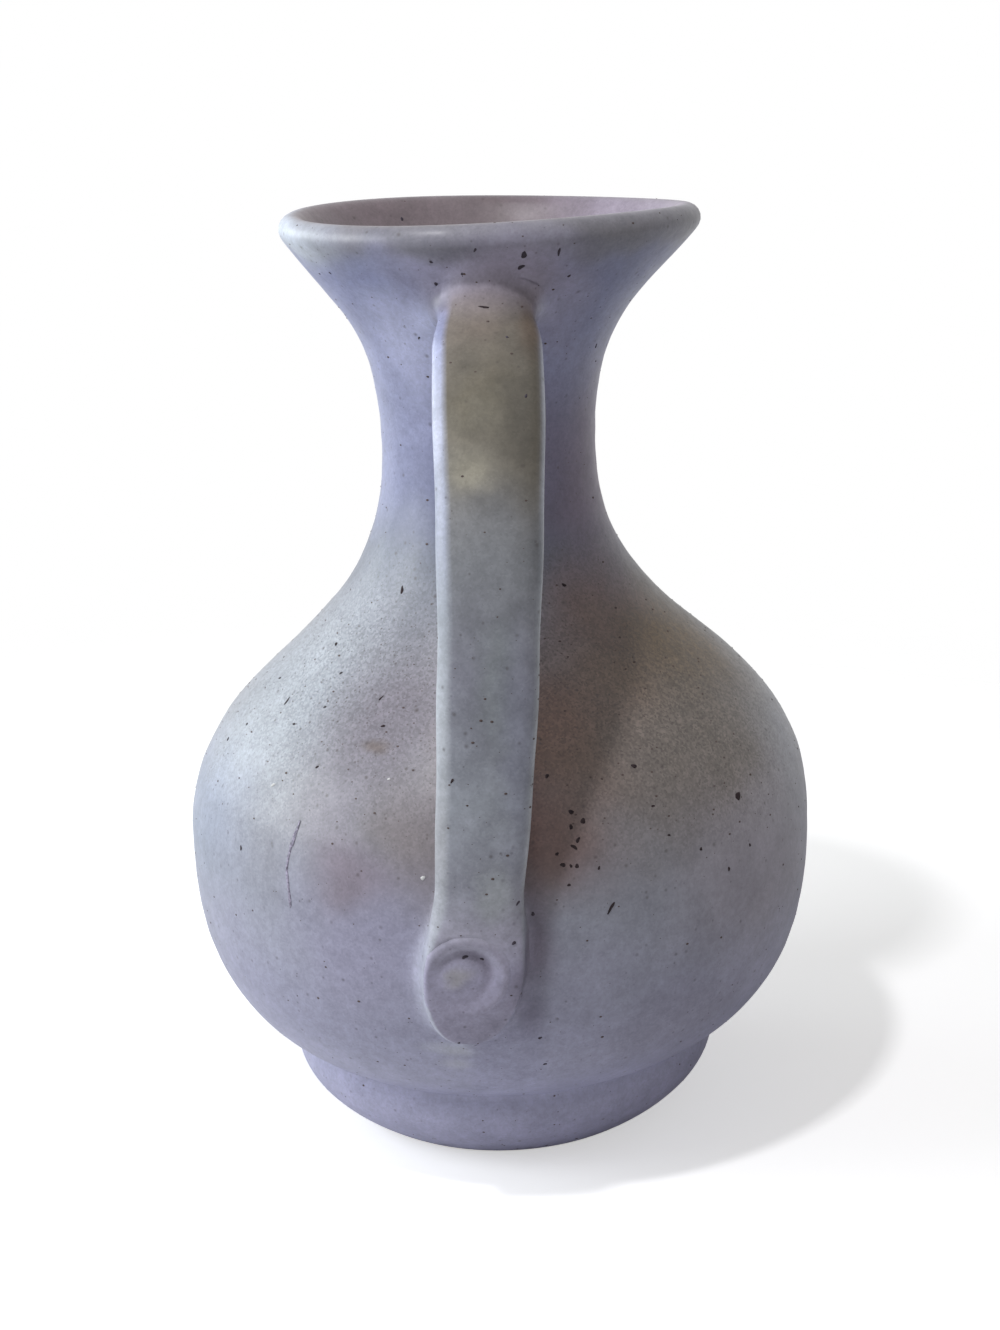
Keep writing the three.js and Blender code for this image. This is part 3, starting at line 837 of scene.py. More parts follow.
# %% [markdown]
# ## The straps
# The strap is swept by hand in mesh code: a ring of points round the crowned oblong at each step
# of the path, joined ring to ring. Curve to Mesh would scale width and thickness together, and
# the real strap thins and widens by itself. Near the root each line of points along the strap
# fans back to a place just under the neck's skin, so that nothing shows inside the mouth, and
# the last rings close to the pad's rounded tip.

# %% Shape of one section
STRAP_STEP = 0.0009
CORNER_POINTS = 8
FACE_POINTS = 18
BACK_POINTS = 9
SIDE_POINTS = 1
# Each corner of the section: which side, front or back, and the points on the way to the next one.
SECTION_RUNS = [(1, 1, FACE_POINTS), (-1, 1, SIDE_POINTS), (-1, -1, BACK_POINTS), (1, -1, SIDE_POINTS)]
SECTION_SIZES = ("width", "thick", "corner", "crown_left", "crown_right")


def strap_section(width, thick, corner, left, right):
    """Points (across, outward) round the strap's crowned section, and their normals."""
    points = []
    normals = []
    for quarter, (sideways, front, straight) in enumerate(SECTION_RUNS):
        angles = np.linspace(0, math.pi / 2, CORNER_POINTS) + quarter * math.pi / 2
        ways = np.column_stack([np.cos(angles), np.sin(angles)])
        centre = np.array([sideways * (width - corner), front * (thick - corner)])
        next_sideways, next_front, _ = SECTION_RUNS[(quarter + 1) % len(SECTION_RUNS)]
        next_centre = np.array([next_sideways * (width - corner), next_front * (thick - corner)])
        shares = np.linspace(0, 1, straight + 2)[1:-1, None]
        points += [centre + corner * ways, centre + shares * (next_centre - centre) + corner * ways[-1]]
        normals += [ways, np.repeat(ways[-1:], straight, axis=0)]
    points = np.vstack(points)
    normals = np.vstack(normals)
    kept, change = crowned(points[:, 0], width, left, right)
    normals[:, 0] -= normals[:, 1] * points[:, 1] * change / kept
    normals[:, 1] /= kept
    points[:, 1] *= kept
    return points, normals / np.linalg.norm(normals, axis=1)[:, None]


strap = strap_at(STRAP_STEP)
sections = [strap_section(*sizes) for sizes in zip(*(strap[name] for name in SECTION_SIZES))]
print("sections:", len(sections), "of", len(sections[0][0]), "points")

# %% Sweep one strap
ROOT_BURY = 0.0015
ROOT_FAN = 0.0035

strap_points = []
strap_normals = []
for i, (across_out, facing) in enumerate(sections):
    flat = strap["spot"][i] + across_out[:, 1:] * strap["out"][i]
    flat_facing = facing[:, 1:] * strap["out"][i]
    strap_points.append(np.column_stack([strap["side"][i] + across_out[:, 0], -flat[:, 0], flat[:, 1]]))
    strap_normals.append(np.column_stack([facing[:, 0], -flat_facing[:, 0], flat_facing[:, 1]]))
strap_points = np.array(strap_points)
strap_normals = np.array(strap_normals)

rings, ring_points, _ = strap_points.shape
off_wall = np.hypot(strap_points[..., 0], strap_points[..., 1]) - wall_radius(strap_points[..., 2])
starts = np.argmax(off_wall > ROOT_FAN, axis=0)
first_ring = strap_points[starts, np.arange(ring_points)]
skin_radius = wall_radius(first_ring[:, 2]) - ROOT_BURY
first_ring[:, 1] = -np.sqrt(skin_radius**2 - first_ring[:, 0] ** 2)
for column, start in enumerate(starts):
    way_out = strap_points[start, column] - first_ring[column]
    strap_points[:start, column] = first_ring[column] + np.arange(start)[:, None] / start * way_out
print("strap:", rings, "rings of", ring_points, "points, root fan of", starts.min(), "to", starts.max())

# %% [markdown]
# ## The thumb-pressed roundels
# On each pad a small disc of clay is pressed flat with a thumb: a raised ring, a groove deepest
# at the upper right, and a low boss left of the middle. The disc is a polar grid, because its
# features are rings, laid on the pad's own curved face by the same path. The pad is pressed in
# under it, as the real one is.

# %% Sizes of the roundel
# Both half sizes, and then places, spreads and edges as shares of the way out to them.
ROUNDEL_WIDE = 0.0093
ROUNDEL_TALL = 0.0101
RING_PLACE = 0.84
RING_SPREAD = 0.12
RING_RISE = 0.00034
RING_EVEN = 0.6
RING_HIGH_WAY = 0.6
RING_SHIFT = 0.10
RING_SHIFT_WAY = -0.2
GROOVE_PLACE = 0.58
GROOVE_SPREAD = 0.15
GROOVE_DROP = 0.0006
GROOVE_EVEN = 0.1
GROOVE_WAY = math.radians(55)
DISH_DROP = 0.0003
DISH_EDGE = (0.85, 0.45)
BOSS_PLACE = (-0.0012, -0.0002)
BOSS_REACH = 0.0034
BOSS_RISE = 0.00062
DIMPLE_REACH = 0.35
DIMPLE_DROP = 0.0002
OUTER_DROP = 0.00016
OUTER_SPREAD = 0.06
RELIEF_FADE = (1.12, 0.98)
print("roundel's ring:", round(2 * RING_PLACE * ROUNDEL_WIDE / MILLIMETRE, 1), "mm across")


# %% Relief of the roundel
def ridge(gap, spread):
    """1 on a line and less on both sides of it, like a soft ridge."""
    return np.exp(-((gap / spread) ** 2))


def roundel_relief(right, upward):
    """The roundel's height over the pad at a place on it, measured from its middle."""
    share = np.hypot(right / ROUNDEL_WIDE, upward / ROUNDEL_TALL)
    way = np.arctan2(upward, right)
    ring_place = RING_PLACE + RING_SHIFT * np.maximum(np.cos(way - RING_SHIFT_WAY), 0)
    ring_high = RING_EVEN + (1 - RING_EVEN) * np.cos(way - RING_HIGH_WAY)
    ring = RING_RISE * ridge(share - ring_place, RING_SPREAD) * ring_high
    towards_groove = 0.5 + 0.5 * np.cos(way - GROOVE_WAY)
    groove_deep = GROOVE_EVEN + (1 - GROOVE_EVEN) * towards_groove**2
    groove = -GROOVE_DROP * ridge(share - GROOVE_PLACE, GROOVE_SPREAD) * groove_deep
    dish = -DISH_DROP * smooth_step(*DISH_EDGE, share)
    boss_gap = np.hypot(right - BOSS_PLACE[0], upward - BOSS_PLACE[1]) / BOSS_REACH
    boss = BOSS_RISE * ridge(boss_gap, 1) - DIMPLE_DROP * ridge(boss_gap, DIMPLE_REACH)
    outer_groove = -OUTER_DROP * ridge(share - 1, OUTER_SPREAD) * np.maximum(np.sin(way), 0)
    return (ring + groove + dish + boss + outer_groove) * smooth_step(*RELIEF_FADE, share)


boss_top = roundel_relief(*np.array(BOSS_PLACE)[:, None])[0]
print("boss stands", round(boss_top / MILLIMETRE, 2), "mm over the pad")

# %% Find the pad's own face
ROUNDEL_SHIFT = -0.0022
FACE_MARGIN = 0.0002

path_length = travelled(fine_strap["spot"])
pad_length = np.interp(-PAD_HEIGHT, -fine_strap["spot"][:, 1], path_length)


def pad_face(right, upward):
    """Points on the strap's front face and their normals, from distances across and up the pad."""
    length = pad_length - upward
    at = {
        name: np.array([np.interp(length, path_length, column) for column in np.atleast_2d(values.T)])
        for name, values in fine_strap.items()
    }
    width, thick, corner, side = (at[name][0] for name in ("width", "thick", "corner", "side"))
    across = np.clip(right + ROUNDEL_SHIFT, FACE_MARGIN - width, width - FACE_MARGIN)
    over = np.clip((np.abs(across) - width + corner) / corner, 0, 1)
    facing = np.sqrt(1 - over**2)
    kept, change = crowned(across, width, at["crown_left"][0], at["crown_right"][0])
    outward = thick - corner + corner * facing
    sideways = np.sign(across) * over - facing * outward * change / kept
    facing = facing / kept
    outward = outward * kept
    length_of_normal = np.hypot(sideways, facing)
    sideways = sideways / length_of_normal
    facing = facing / length_of_normal
    flat = at["spot"] + outward * at["out"]
    points = np.column_stack([side + across, -flat[0], flat[1]])
    normals = np.column_stack([sideways, -facing * at["out"][0], facing * at["out"][1]])
    return points, normals


print("pad's middle lies", round(pad_length / MILLIMETRE), "mm along the strap")

# %% Press the seat into the pad
SEAT_DEPTH = 0.0018
SEAT_EDGE = (0.97, 0.80)
FRONT_FACING = -0.2

seat_up = (pad_length - travelled(strap["spot"]))[:, None]
seat_right = strap_points[:, :, 0] - strap["side"][:, None] - ROUNDEL_SHIFT
seat_share = np.hypot(seat_right / ROUNDEL_WIDE, seat_up / ROUNDEL_TALL)
facing_out = strap_normals[:, :, 1] < FRONT_FACING
seat = SEAT_DEPTH * smooth_step(*SEAT_EDGE, seat_share) * facing_out
flat_points = strap_points.reshape(-1, 3)
flat_normals = strap_normals.reshape(-1, 3)
handle_points = luted(flat_points, flat_normals, wall_distance)
handle_points -= seat.reshape(-1, 1) * flat_normals
print("seat pressed in at", int((seat > 0).sum()), "points")

# %% [markdown]
# ## Making the handle pieces
# One list of points gives the front handle, and the same list turned half round the axis gives
# the rear one, which the camera doesn't see. A fan closes each end. The finished meshes keep
# their place in their vertices, with the objects at the origin, as the solids do.


# %% Helpers that join points into a piece
def ring_faces(count, size):
    """Quads between rings of points, with the last ring joined to nothing."""
    first = np.arange(count - 1)[:, None] * size + np.arange(size)
    after = np.arange(count - 1)[:, None] * size + (np.arange(size) + 1) % size
    return np.stack([first, after, after + size, first + size], axis=2).reshape(-1, 4).tolist()


def fan(centre, start, size):
    """Triangles from a centre point to a ring of points."""
    return [(centre, start + i, start + (i + 1) % size) for i in range(size)]


def make_piece(name, points, faces, material):
    """A closed piece with smooth faces that point outwards, linked into the scene."""
    mesh = bpy.data.meshes.new(name)
    mesh.from_pydata(points.tolist(), [], faces)
    mesh.validate()
    mesh.shade_smooth()
    mesh.materials.append(material)
    face_out(mesh)
    piece = bpy.data.objects.new(name, mesh)
    scene.collection.objects.link(piece)
    return piece


print("piece helpers ready")

# %% Close the handle's mesh and mark its face
LEFT_FACE = (0.89, 0.998)
RIGHT_FACE = (0.42, 0.86)

strap_ends = np.array([first_ring.mean(0), strap_points[-1].mean(0)])
handle_strap_share = np.concatenate([strap_share(handle_points), [0, 1]])
section_facing = np.concatenate([facing[:, 1] for _, facing in sections])
section_sideways = np.concatenate([facing[:, 0] for _, facing in sections])
left_face = smooth_step(*LEFT_FACE, section_facing)
right_face = smooth_step(*RIGHT_FACE, section_facing)
handle_face_share = np.append(np.where(section_sideways < 0, left_face, right_face), [1, 1])
handle_points = np.vstack([handle_points, strap_ends])
last_ring = (rings - 1) * ring_points
root_end = rings * ring_points
root_fan = [face[::-1] for face in fan(root_end, 0, ring_points)]
handle_faces = ring_faces(rings, ring_points) + root_fan + fan(root_end + 1, last_ring, ring_points)
print("handle:", len(handle_points), "points,", len(handle_faces), "faces")

# %% Close the roundel's mesh
ROUNDEL_SPOKES = 112
ROUNDEL_RINGS = 34
ROUNDEL_REACH = 1.14
ROUNDEL_DEPTH = 0.0026
ROUNDEL_LIFT = 0.00003
EDGE_DIVE = 0.0003
DIVE_START = 0.98

disc_shares = np.linspace(0, ROUNDEL_REACH, ROUNDEL_RINGS + 1)[1:]
spokes = np.linspace(0, 2 * math.pi, ROUNDEL_SPOKES, endpoint=False)
disc_right = np.append(np.outer(disc_shares, np.cos(spokes)).ravel() * ROUNDEL_WIDE, 0)
disc_up = np.append(np.outer(disc_shares, np.sin(spokes)).ravel() * ROUNDEL_TALL, 0)
disc_base, disc_normals = pad_face(disc_right, disc_up)
from_centre = np.hypot(disc_right / ROUNDEL_WIDE, disc_up / ROUNDEL_TALL)
relief = roundel_relief(disc_right, disc_up)
dive = EDGE_DIVE * smooth_step(DIVE_START, ROUNDEL_REACH, from_centre) - ROUNDEL_LIFT
disc_top = disc_base + (relief - dive)[:, None] * disc_normals
disc_under = disc_base - ROUNDEL_DEPTH * disc_normals
disc_points = np.vstack([disc_top, disc_under])

middle = ROUNDEL_RINGS * ROUNDEL_SPOKES
under = middle + 1
centre_fan = [face[::-1] for face in fan(middle, 0, ROUNDEL_SPOKES)]
top_faces = ring_faces(ROUNDEL_RINGS, ROUNDEL_SPOKES) + centre_fan
under_faces = [tuple(i + under for i in face)[::-1] for face in top_faces]
rim_start = middle - ROUNDEL_SPOKES
rim_faces = []
for i in range(ROUNDEL_SPOKES):
    here = rim_start + i
    after = rim_start + (i + 1) % ROUNDEL_SPOKES
    rim_faces.append((here + under, after + under, after, here))
disc_faces = top_faces + under_faces + rim_faces
print("roundel:", len(disc_points), "points, relief of", round(np.ptp(relief) / MILLIMETRE, 2), "mm")

# %% Make straps and roundels
handles = {}
roundels = {}
for side, turn_points in (("front", np.copy), ("rear", turned_round)):
    handle = make_piece(side + "_handle", turn_points(handle_points), handle_faces, satin_glaze)
    roundel = make_piece(side + "_pressed_roundel", turn_points(disc_points), disc_faces, satin_glaze)
    mark(handle.data, "on_strap", handle_strap_share)
    mark(handle.data, "on_face", handle_face_share)
    plain_normals = turn_points(read_normals(handle.data))
    joined = turn_points(joined_normals(handle_points, plain_normals))
    handle.data.normals_split_custom_set_from_vertices(joined.tolist())
    mark(roundel.data, "on_face", np.ones(len(disc_points)))
    mark(roundel.data, "on_strap", np.ones(len(disc_points)))
    mark(roundel.data, "relief", np.concatenate([relief, relief]))
    handles[side] = handle
    roundels[side] = roundel
    print(side, "handle, clay in cm3:", round(volume(handle.data) / CUBIC_CENTIMETRE, 1))

# %% [markdown]
# ## Iron specks, scattered by Geometry Nodes
# Grains of iron in the clay burn through the glaze as dark specks, thickest on the shoulder. They
# repeat by the hundred and lie on a curved skin, which is what Distribute Points on Faces is for.
# A number on each vertex says how many fall there. Each speck is a flat grain of twenty faces,
# laid along the skin and half sunk in it. Most are tiny, because the size follows a cubed random
# number, and a fixed seed keeps them where they are.

# %% Build the scatter
# A speck's width and depth as shares of its length, and the power that keeps most of them small.
SPECK_WIDTH = 0.7
SPECK_DEPTH = 0.3
MOSTLY_SMALL = 3

scatter_inputs = {
    "Skin": "Geometry",
    "Specks per Square Metre": "Float",
    "Smallest": "Float",
    "Largest": "Float",
    "Seed": "Int",
    "Iron": "Material",
}
scatter_outputs = {"Specks": "Geometry"}
scatter, given, made = new_tree("iron_speck_scatter", "GeometryNodeTree", scatter_inputs, scatter_outputs)
share_name = {"Name": "speck_share"}
share_input = add_node(scatter, "GeometryNodeInputNamedAttribute", share_name, data_type="FLOAT")
density = math_node(scatter, "MULTIPLY", share_input.outputs[0], given["Specks per Square Metre"])
spread_inputs = {"Mesh": given["Skin"], "Density": density, "Seed": given["Seed"]}
spread = add_node(scatter, "GeometryNodeDistributePointsOnFaces", spread_inputs).outputs
luck = add_node(scatter, "FunctionNodeRandomValue", {"Seed": given["Seed"]}, data_type="FLOAT").outputs[1]
small_luck = math_node(scatter, "POWER", luck, MOSTLY_SMALL)
size_range = math_node(scatter, "SUBTRACT", given["Largest"], given["Smallest"])
speck_size = math_node(scatter, "MULTIPLY_ADD", small_luck, size_range, given["Smallest"])
speck_sides = {
    "X": speck_size,
    "Y": math_node(scatter, "MULTIPLY", speck_size, SPECK_WIDTH),
    "Z": math_node(scatter, "MULTIPLY", speck_size, SPECK_DEPTH),
}
flat_size = add_node(scatter, "ShaderNodeCombineXYZ", speck_sides).outputs[0]
ball_inputs = {"Radius": 1, "Subdivisions": 1}
speck_shape = add_node(scatter, "GeometryNodeMeshIcoSphere", ball_inputs).outputs["Mesh"]
laid_inputs = {
    "Points": spread["Points"],
    "Instance": speck_shape,
    "Rotation": spread["Rotation"],
    "Scale": flat_size,
}
laid = add_node(scatter, "GeometryNodeInstanceOnPoints", laid_inputs).outputs[0]
real_specks = add_node(scatter, "GeometryNodeRealizeInstances", {"Geometry": laid}).outputs[0]
iron_inputs = {"Geometry": real_specks, "Material": given["Iron"]}
rusty = add_node(scatter, "GeometryNodeSetMaterial", iron_inputs).outputs[0]
scatter.links.new(rusty, made["Specks"])
print("scatter:", len(scatter.nodes), "nodes")

# %% Say how many specks fall where
# Shares of specks that fall everywhere, in drifts, and on the shoulder in a drift or outside one.
EVERYWHERE = 0.2
IN_DRIFTS = 0.2
ON_SHOULDER = 0.6
SHOULDER_EVEN = 0.4
SHOULDER_RISE = (0.075, 0.100)
SHOULDER_FALL = (0.150, 0.125)
DRIFT_WAVES = (95, 130, 70)
DRIFT_START = 2


def speck_shares(points):
    """How many of the specks may fall at each point: most on the shoulder, in drifts."""
    x, y, z = points.T
    wave_x, wave_y, wave_z = DRIFT_WAVES
    shoulder = smooth_step(*SHOULDER_RISE, z) * smooth_step(*SHOULDER_FALL, z)
    drifts = 0.5 + 0.5 * np.sin(wave_x * x + DRIFT_START) * np.sin(wave_z * z + wave_y * y)
    drifting = SHOULDER_EVEN + (1 - SHOULDER_EVEN) * drifts
    return EVERYWHERE + ON_SHOULDER * shoulder * drifting + IN_DRIFTS * drifts


print("share of specks on the body: about", round(speck_shares(body_points).mean(), 2))

# %% Scatter the specks over the body and the handles
SPECKS_PER_SQUARE_METRE = 64000
SMALLEST_SPECK = 0.00013
LARGEST_SPECK = 0.00042
SPECK_SEED = 7
SPECK_FACES = 20
INSIDE_SPARED = 0.8
WIPED_HEIGHT = 0.002

iron = bpy.data.materials.new("iron_speck")
speck_pieces = []
for number, skin in enumerate([body, handles["front"], handles["rear"]]):
    skin_points = read_points(skin.data)
    shares = speck_shares(skin_points)
    if skin == body:
        shares *= 1 - INSIDE_SPARED * body_inside
        shares[skin_points[:, 2] < WIPED_HEIGHT] = 0
    specks = bpy.data.objects.new(skin.name + "_specks", skin.data.copy())
    scene.collection.objects.link(specks)
    mark(specks.data, "speck_share", shares)
    scatter_values = {
        "Specks per Square Metre": SPECKS_PER_SQUARE_METRE,
        "Smallest": SMALLEST_SPECK,
        "Largest": LARGEST_SPECK,
        "Seed": SPECK_SEED + number,
        "Iron": iron,
    }
    run_tree(specks, scatter, scatter_values)
    speck_pieces.append(specks)
    print(specks.name, len(specks.data.polygons) // SPECK_FACES)

# %% [markdown]
# ## Pits and runs that anyone would recognise
# A few marks are big enough to know this vase by: slits where a gas bubble burst, a cluster of
# pits beside the strap, single ones over shoulder and belly, softer pits on flare and pad, three
# pale chips and a dark run on the left. Each is given by its place in the picture, its length,
# width and tilt. A ray from the camera finds the skin under that place, so that the mark lies on
# what carries it from any side.

# %% Find places on the skin
ROUNDEL_PIXEL = (462, 978)

skin_things = (body, handles["front"], roundels["front"])
depsgraph = bpy.context.evaluated_depsgraph_get()
skin_trees = [BVHTree.FromObject(thing, depsgraph) for thing in skin_things]


def place_on_skin(column, row):
    """The point and the normal of the skin at a place in the picture."""
    aim = Vector((column - AXIS_COLUMN, IMAGE_TALL / 2 - row, -FOCAL_PIXELS))
    way = camera_turn @ aim.normalized()
    hits = [skin_tree.ray_cast(CAMERA_PLACE, way) for skin_tree in skin_trees]
    hits = [hit for hit in hits if hit[0] is not None]
    spot, normal, _, _ = min(hits, key=lambda hit: hit[3])
    return spot, normal


roundel_spot, _ = place_on_skin(*ROUNDEL_PIXEL)
print("skin under the roundel's middle:", [round(value / MILLIMETRE, 1) for value in roundel_spot], "mm")

# %% List the marks
# Each mark: column and row in the picture, length and width in millimetres, tilt in degrees. The
# sizes were read off the picture, and the next cell scales them all.
BURST_SLITS = [
    (287, 701, 1.7, 0.45, 40), (381, 698, 1.0, 0.4, 35),
    (611, 908, 2.0, 0.55, 62), (484, 307, 1.6, 0.4, -5),
]
CLUSTER_PITS = [
    (571, 812, 0.9, 0.7, 20), (583, 821, 0.9, 0.8, 0), (571, 827, 0.8, 0.6, 70), (578, 840, 0.9, 0.6, 50),
    (574, 847, 1.1, 0.6, -30), (563, 865, 0.8, 0.7, 10), (571, 866, 0.5, 0.5, 0), (577, 866, 0.7, 0.6, 0),
    (557, 854, 0.6, 0.5, 0), (599, 868, 0.6, 0.4, 60), (569, 885, 0.5, 0.5, 0), (547, 776, 0.7, 0.6, 80),
]
FLARE_PITS = [
    (524, 255, 1.4, 0.9, 70), (521, 267, 1.1, 0.8, 20), (559, 252, 1.5, 0.5, 85), (475, 250, 0.8, 0.4, 80),
    (431, 262, 0.6, 0.5, 0), (436, 284, 0.8, 0.5, 70), (569, 276, 0.6, 0.5, 0), (596, 346, 0.8, 0.4, 60),
    (330, 273, 0.5, 0.4, 0), (419, 338, 0.6, 0.4, 80), (507, 337, 0.5, 0.4, 0), (462, 274, 0.5, 0.4, 0),
    (402, 219, 0.8, 0.5, 80), (526, 396, 0.6, 0.4, 60),
]
BELLY_PITS = [
    (634, 766, 1.0, 0.7, 20), (738, 796, 1.7, 1.0, 75), (336, 644, 0.8, 0.6, 60), (402, 590, 1.4, 0.6, 75),
    (341, 673, 0.6, 0.5, 0), (325, 707, 0.6, 0.4, 0), (294, 724, 0.6, 0.5, 0), (228, 739, 0.9, 0.5, 80),
    (247, 724, 0.6, 0.5, 30), (241, 848, 0.9, 0.5, 80), (317, 767, 0.6, 0.5, 0), (383, 726, 0.7, 0.5, 0),
    (280, 678, 0.6, 0.5, 0), (750, 845, 0.6, 0.5, 0), (701, 849, 0.6, 0.5, 0), (729, 869, 0.8, 0.5, 80),
    (653, 806, 0.6, 0.4, 0), (669, 835, 0.5, 0.4, 0), (452, 781, 0.8, 0.4, 70), (564, 585, 0.9, 0.5, 0),
]
PAD_PITS = [
    (465, 957, 0.9, 0.6, 20), (482, 959, 0.6, 0.5, 0), (514, 943, 0.7, 0.6, 80), (533, 914, 0.6, 0.6, 0),
    (459, 1043, 0.5, 0.5, 0), (540, 1038, 0.6, 0.5, 0), (545, 1064, 0.6, 0.5, 0), (518, 903, 0.8, 0.5, 50),
]
PALE_CHIPS = [(423, 878, 0.8, 0.7, 0), (273, 785, 0.9, 0.6, 0), (389, 779, 0.5, 0.4, 0)]
# The run is a chain of long, thin marks between these columns and rows.
RUN_PLACES = [(298.5, 827), (294, 838), (290, 850), (287, 863), (287, 877), (289, 891), (290, 904)]
RUN_LENGTH = 4.2
RUN_WIDTH = 0.52

run_marks = []
for (column, row_down), (next_column, next_row_down) in zip(RUN_PLACES, RUN_PLACES[1:]):
    run_tilt = math.degrees(math.atan2(row_down - next_row_down, next_column - column))
    run_middle = ((column + next_column) / 2, (row_down + next_row_down) / 2)
    run_marks.append((*run_middle, RUN_LENGTH, RUN_WIDTH, run_tilt))
print("links in the run:", len(run_marks))

# %% Lay the marks
MARK_SCALE = 1.35
GRAIN_DEPTH = 0.35
UNEVEN_TWICE = 0.18
UNEVEN_THRICE = 0.12

ball = bmesh.new()
bmesh.ops.create_icosphere(ball, subdivisions=2, radius=1)
ball_points = np.array([point.co for point in ball.verts])
ball_faces = np.array([[point.index for point in face.verts] for face in ball.faces])
ball.free()
ball_turn = np.arctan2(ball_points[:, 1], ball_points[:, 0])
picture_right = camera_turn @ Vector((1, 0, 0))


def grains(name, marks, material):
    """One piece of flat grains laid along the skin, each a little uneven."""
    points = []
    faces = []
    for number, (column, row, long, wide, tilt) in enumerate(marks):
        spot, normal = place_on_skin(column, row)
        # The picture's right, laid along the skin and then tilted.
        right = picture_right.cross(normal).cross(normal) * -1
        right.rotate(Matrix.Rotation(math.radians(tilt), 3, normal))
        right.normalize()
        directions = np.array([right, normal.cross(right), normal])
        uneven = 1 + UNEVEN_TWICE * np.sin(2 * ball_turn + number)
        uneven += UNEVEN_THRICE * np.sin(3 * ball_turn + 2 * number)
        half_size = np.array([long, wide, GRAIN_DEPTH * wide]) * MARK_SCALE * MILLIMETRE / 2
        faces.append(ball_faces + len(points) * len(ball_points))
        points.append(np.array(spot) + (ball_points * uneven[:, None] * half_size) @ directions)
    return make_piece(name, np.vstack(points), np.vstack(faces).tolist(), material)


burst_glaze = bpy.data.materials.new("burst_pit")
burst_pits = grains("burst_pits", BURST_SLITS + CLUSTER_PITS + BELLY_PITS, burst_glaze)
soft_glaze = bpy.data.materials.new("soft_pit")
soft_pits = grains("soft_pits", FLARE_PITS + PAD_PITS, soft_glaze)
chip_clay = bpy.data.materials.new("pale_chip")
pale_chips = grains("pale_chips", PALE_CHIPS, chip_clay)
run_glaze = bpy.data.materials.new("dark_run")
dark_run = grains("dark_run", run_marks, run_glaze)
mark_pieces = [burst_pits, soft_pits, pale_chips, dark_run]
for piece in mark_pieces:
    print(piece.name, len(piece.data.polygons) // len(ball_faces), "grains")

# %% [markdown]
# ## The glaze's colours
# One dip of glaze covers everything, and it changes colour with its thickness and with where the
# flame reached: lavender on foot and neck, grey green on the shoulder, olive and brown beside and
# on the strap. Real glaze has no edges, so the colour is a ramp up the height with soft patches
# laid over it. Some patches are not glaze but painted shade, painted shadow and painted highlight,
# and their names say so. A patch is a shader node group: it takes a place, a reach and a tint, and
# mixes the tint in by distance. The same group serves wall and strap, each time with its own values.
# All of it reads Object coordinates, so the pattern is in the clay and holds from any side.


# %% Helpers for shader trees
def mix_colour(tree, share, first, second):
    """The result of one Mix node, whose sockets 6 and 7, and 2 on the way out, are for colours."""
    inputs = {0: share, 6: first, 7: second}
    return add_node(tree, "ShaderNodeMix", inputs, data_type="RGBA").outputs[2]


def noise(tree, place, scale, detail):
    """The value and the colour of one Noise Texture."""
    inputs = {"Vector": place, "Scale": scale, "Detail": detail}
    return add_node(tree, "ShaderNodeTexNoise", inputs).outputs


def vector_node(tree, operation, inputs, output="Vector"):
    """The result of one Vector Math node."""
    return add_node(tree, "ShaderNodeVectorMath", inputs, operation=operation).outputs[output]


def ramp(tree, value, start, end, low=0, high=1, ease="LINEAR"):
    """Low where a value is at the start, high where it is at the end, and held beyond both."""
    inputs = {"Value": value, "From Min": start, "From Max": end, "To Min": low, "To Max": high}
    return add_node(tree, "ShaderNodeMapRange", inputs, interpolation_type=ease).outputs[0]


print("shader helpers ready")

# %% Group for clouded places
SWIRL_DETAIL = 2

cloud_inputs = {"Place": "Vector", "Scale": "Float", "Drift": "Float"}
cloud_group, given, made = new_tree("clouded_place", "ShaderNodeTree", cloud_inputs, {"Place": "Vector"})
swirl = noise(cloud_group, given["Place"], given["Scale"], SWIRL_DETAIL)[1]
centred = vector_node(cloud_group, "SUBTRACT", {0: swirl, 1: (0.5, 0.5, 0.5)})
wander = vector_node(cloud_group, "SCALE", {0: centred, "Scale": given["Drift"]})
wandered = vector_node(cloud_group, "ADD", {0: given["Place"], 1: wander})
cloud_group.links.new(wandered, made["Place"])


def clouded(tree, place, scale, drift):
    """Places that a noise moves about, so that what is laid on them has cloudy edges."""
    inputs = {"Place": place, "Scale": scale, "Drift": drift}
    return add_node(tree, "ShaderNodeGroup", inputs, node_tree=cloud_group).outputs["Place"]


print("group:", cloud_group.name)

# %% Group for soft patches
PATCH_EDGE = 1
PATCH_CORE = 0.15

patch_inputs = {
    "Place": "Vector",
    "Base": "Color",
    "Centre": "Vector",
    "Turn": "Float",
    "Reach": "Vector",
    "Tint": "Color",
    "Amount": "Float",
}
patch_group, given, made = new_tree("glaze_patch", "ShaderNodeTree", patch_inputs, {"Colour": "Color"})
offset = vector_node(patch_group, "SUBTRACT", {0: given["Place"], 1: given["Centre"]})
turn_inputs = {"Vector": offset, "Angle": given["Turn"]}
faced = add_node(patch_group, "ShaderNodeVectorRotate", turn_inputs, rotation_type="Z_AXIS").outputs[0]
scaled = vector_node(patch_group, "DIVIDE", {0: faced, 1: given["Reach"]})
patch_gap = vector_node(patch_group, "LENGTH", {0: scaled}, "Value")
fade = ramp(patch_group, patch_gap, PATCH_EDGE, PATCH_CORE, ease="SMOOTHSTEP")
tint_share = math_node(patch_group, "MULTIPLY", fade, given["Amount"])
tinted = mix_colour(patch_group, tint_share, given["Base"], given["Tint"])
patch_group.links.new(tinted, made["Colour"])


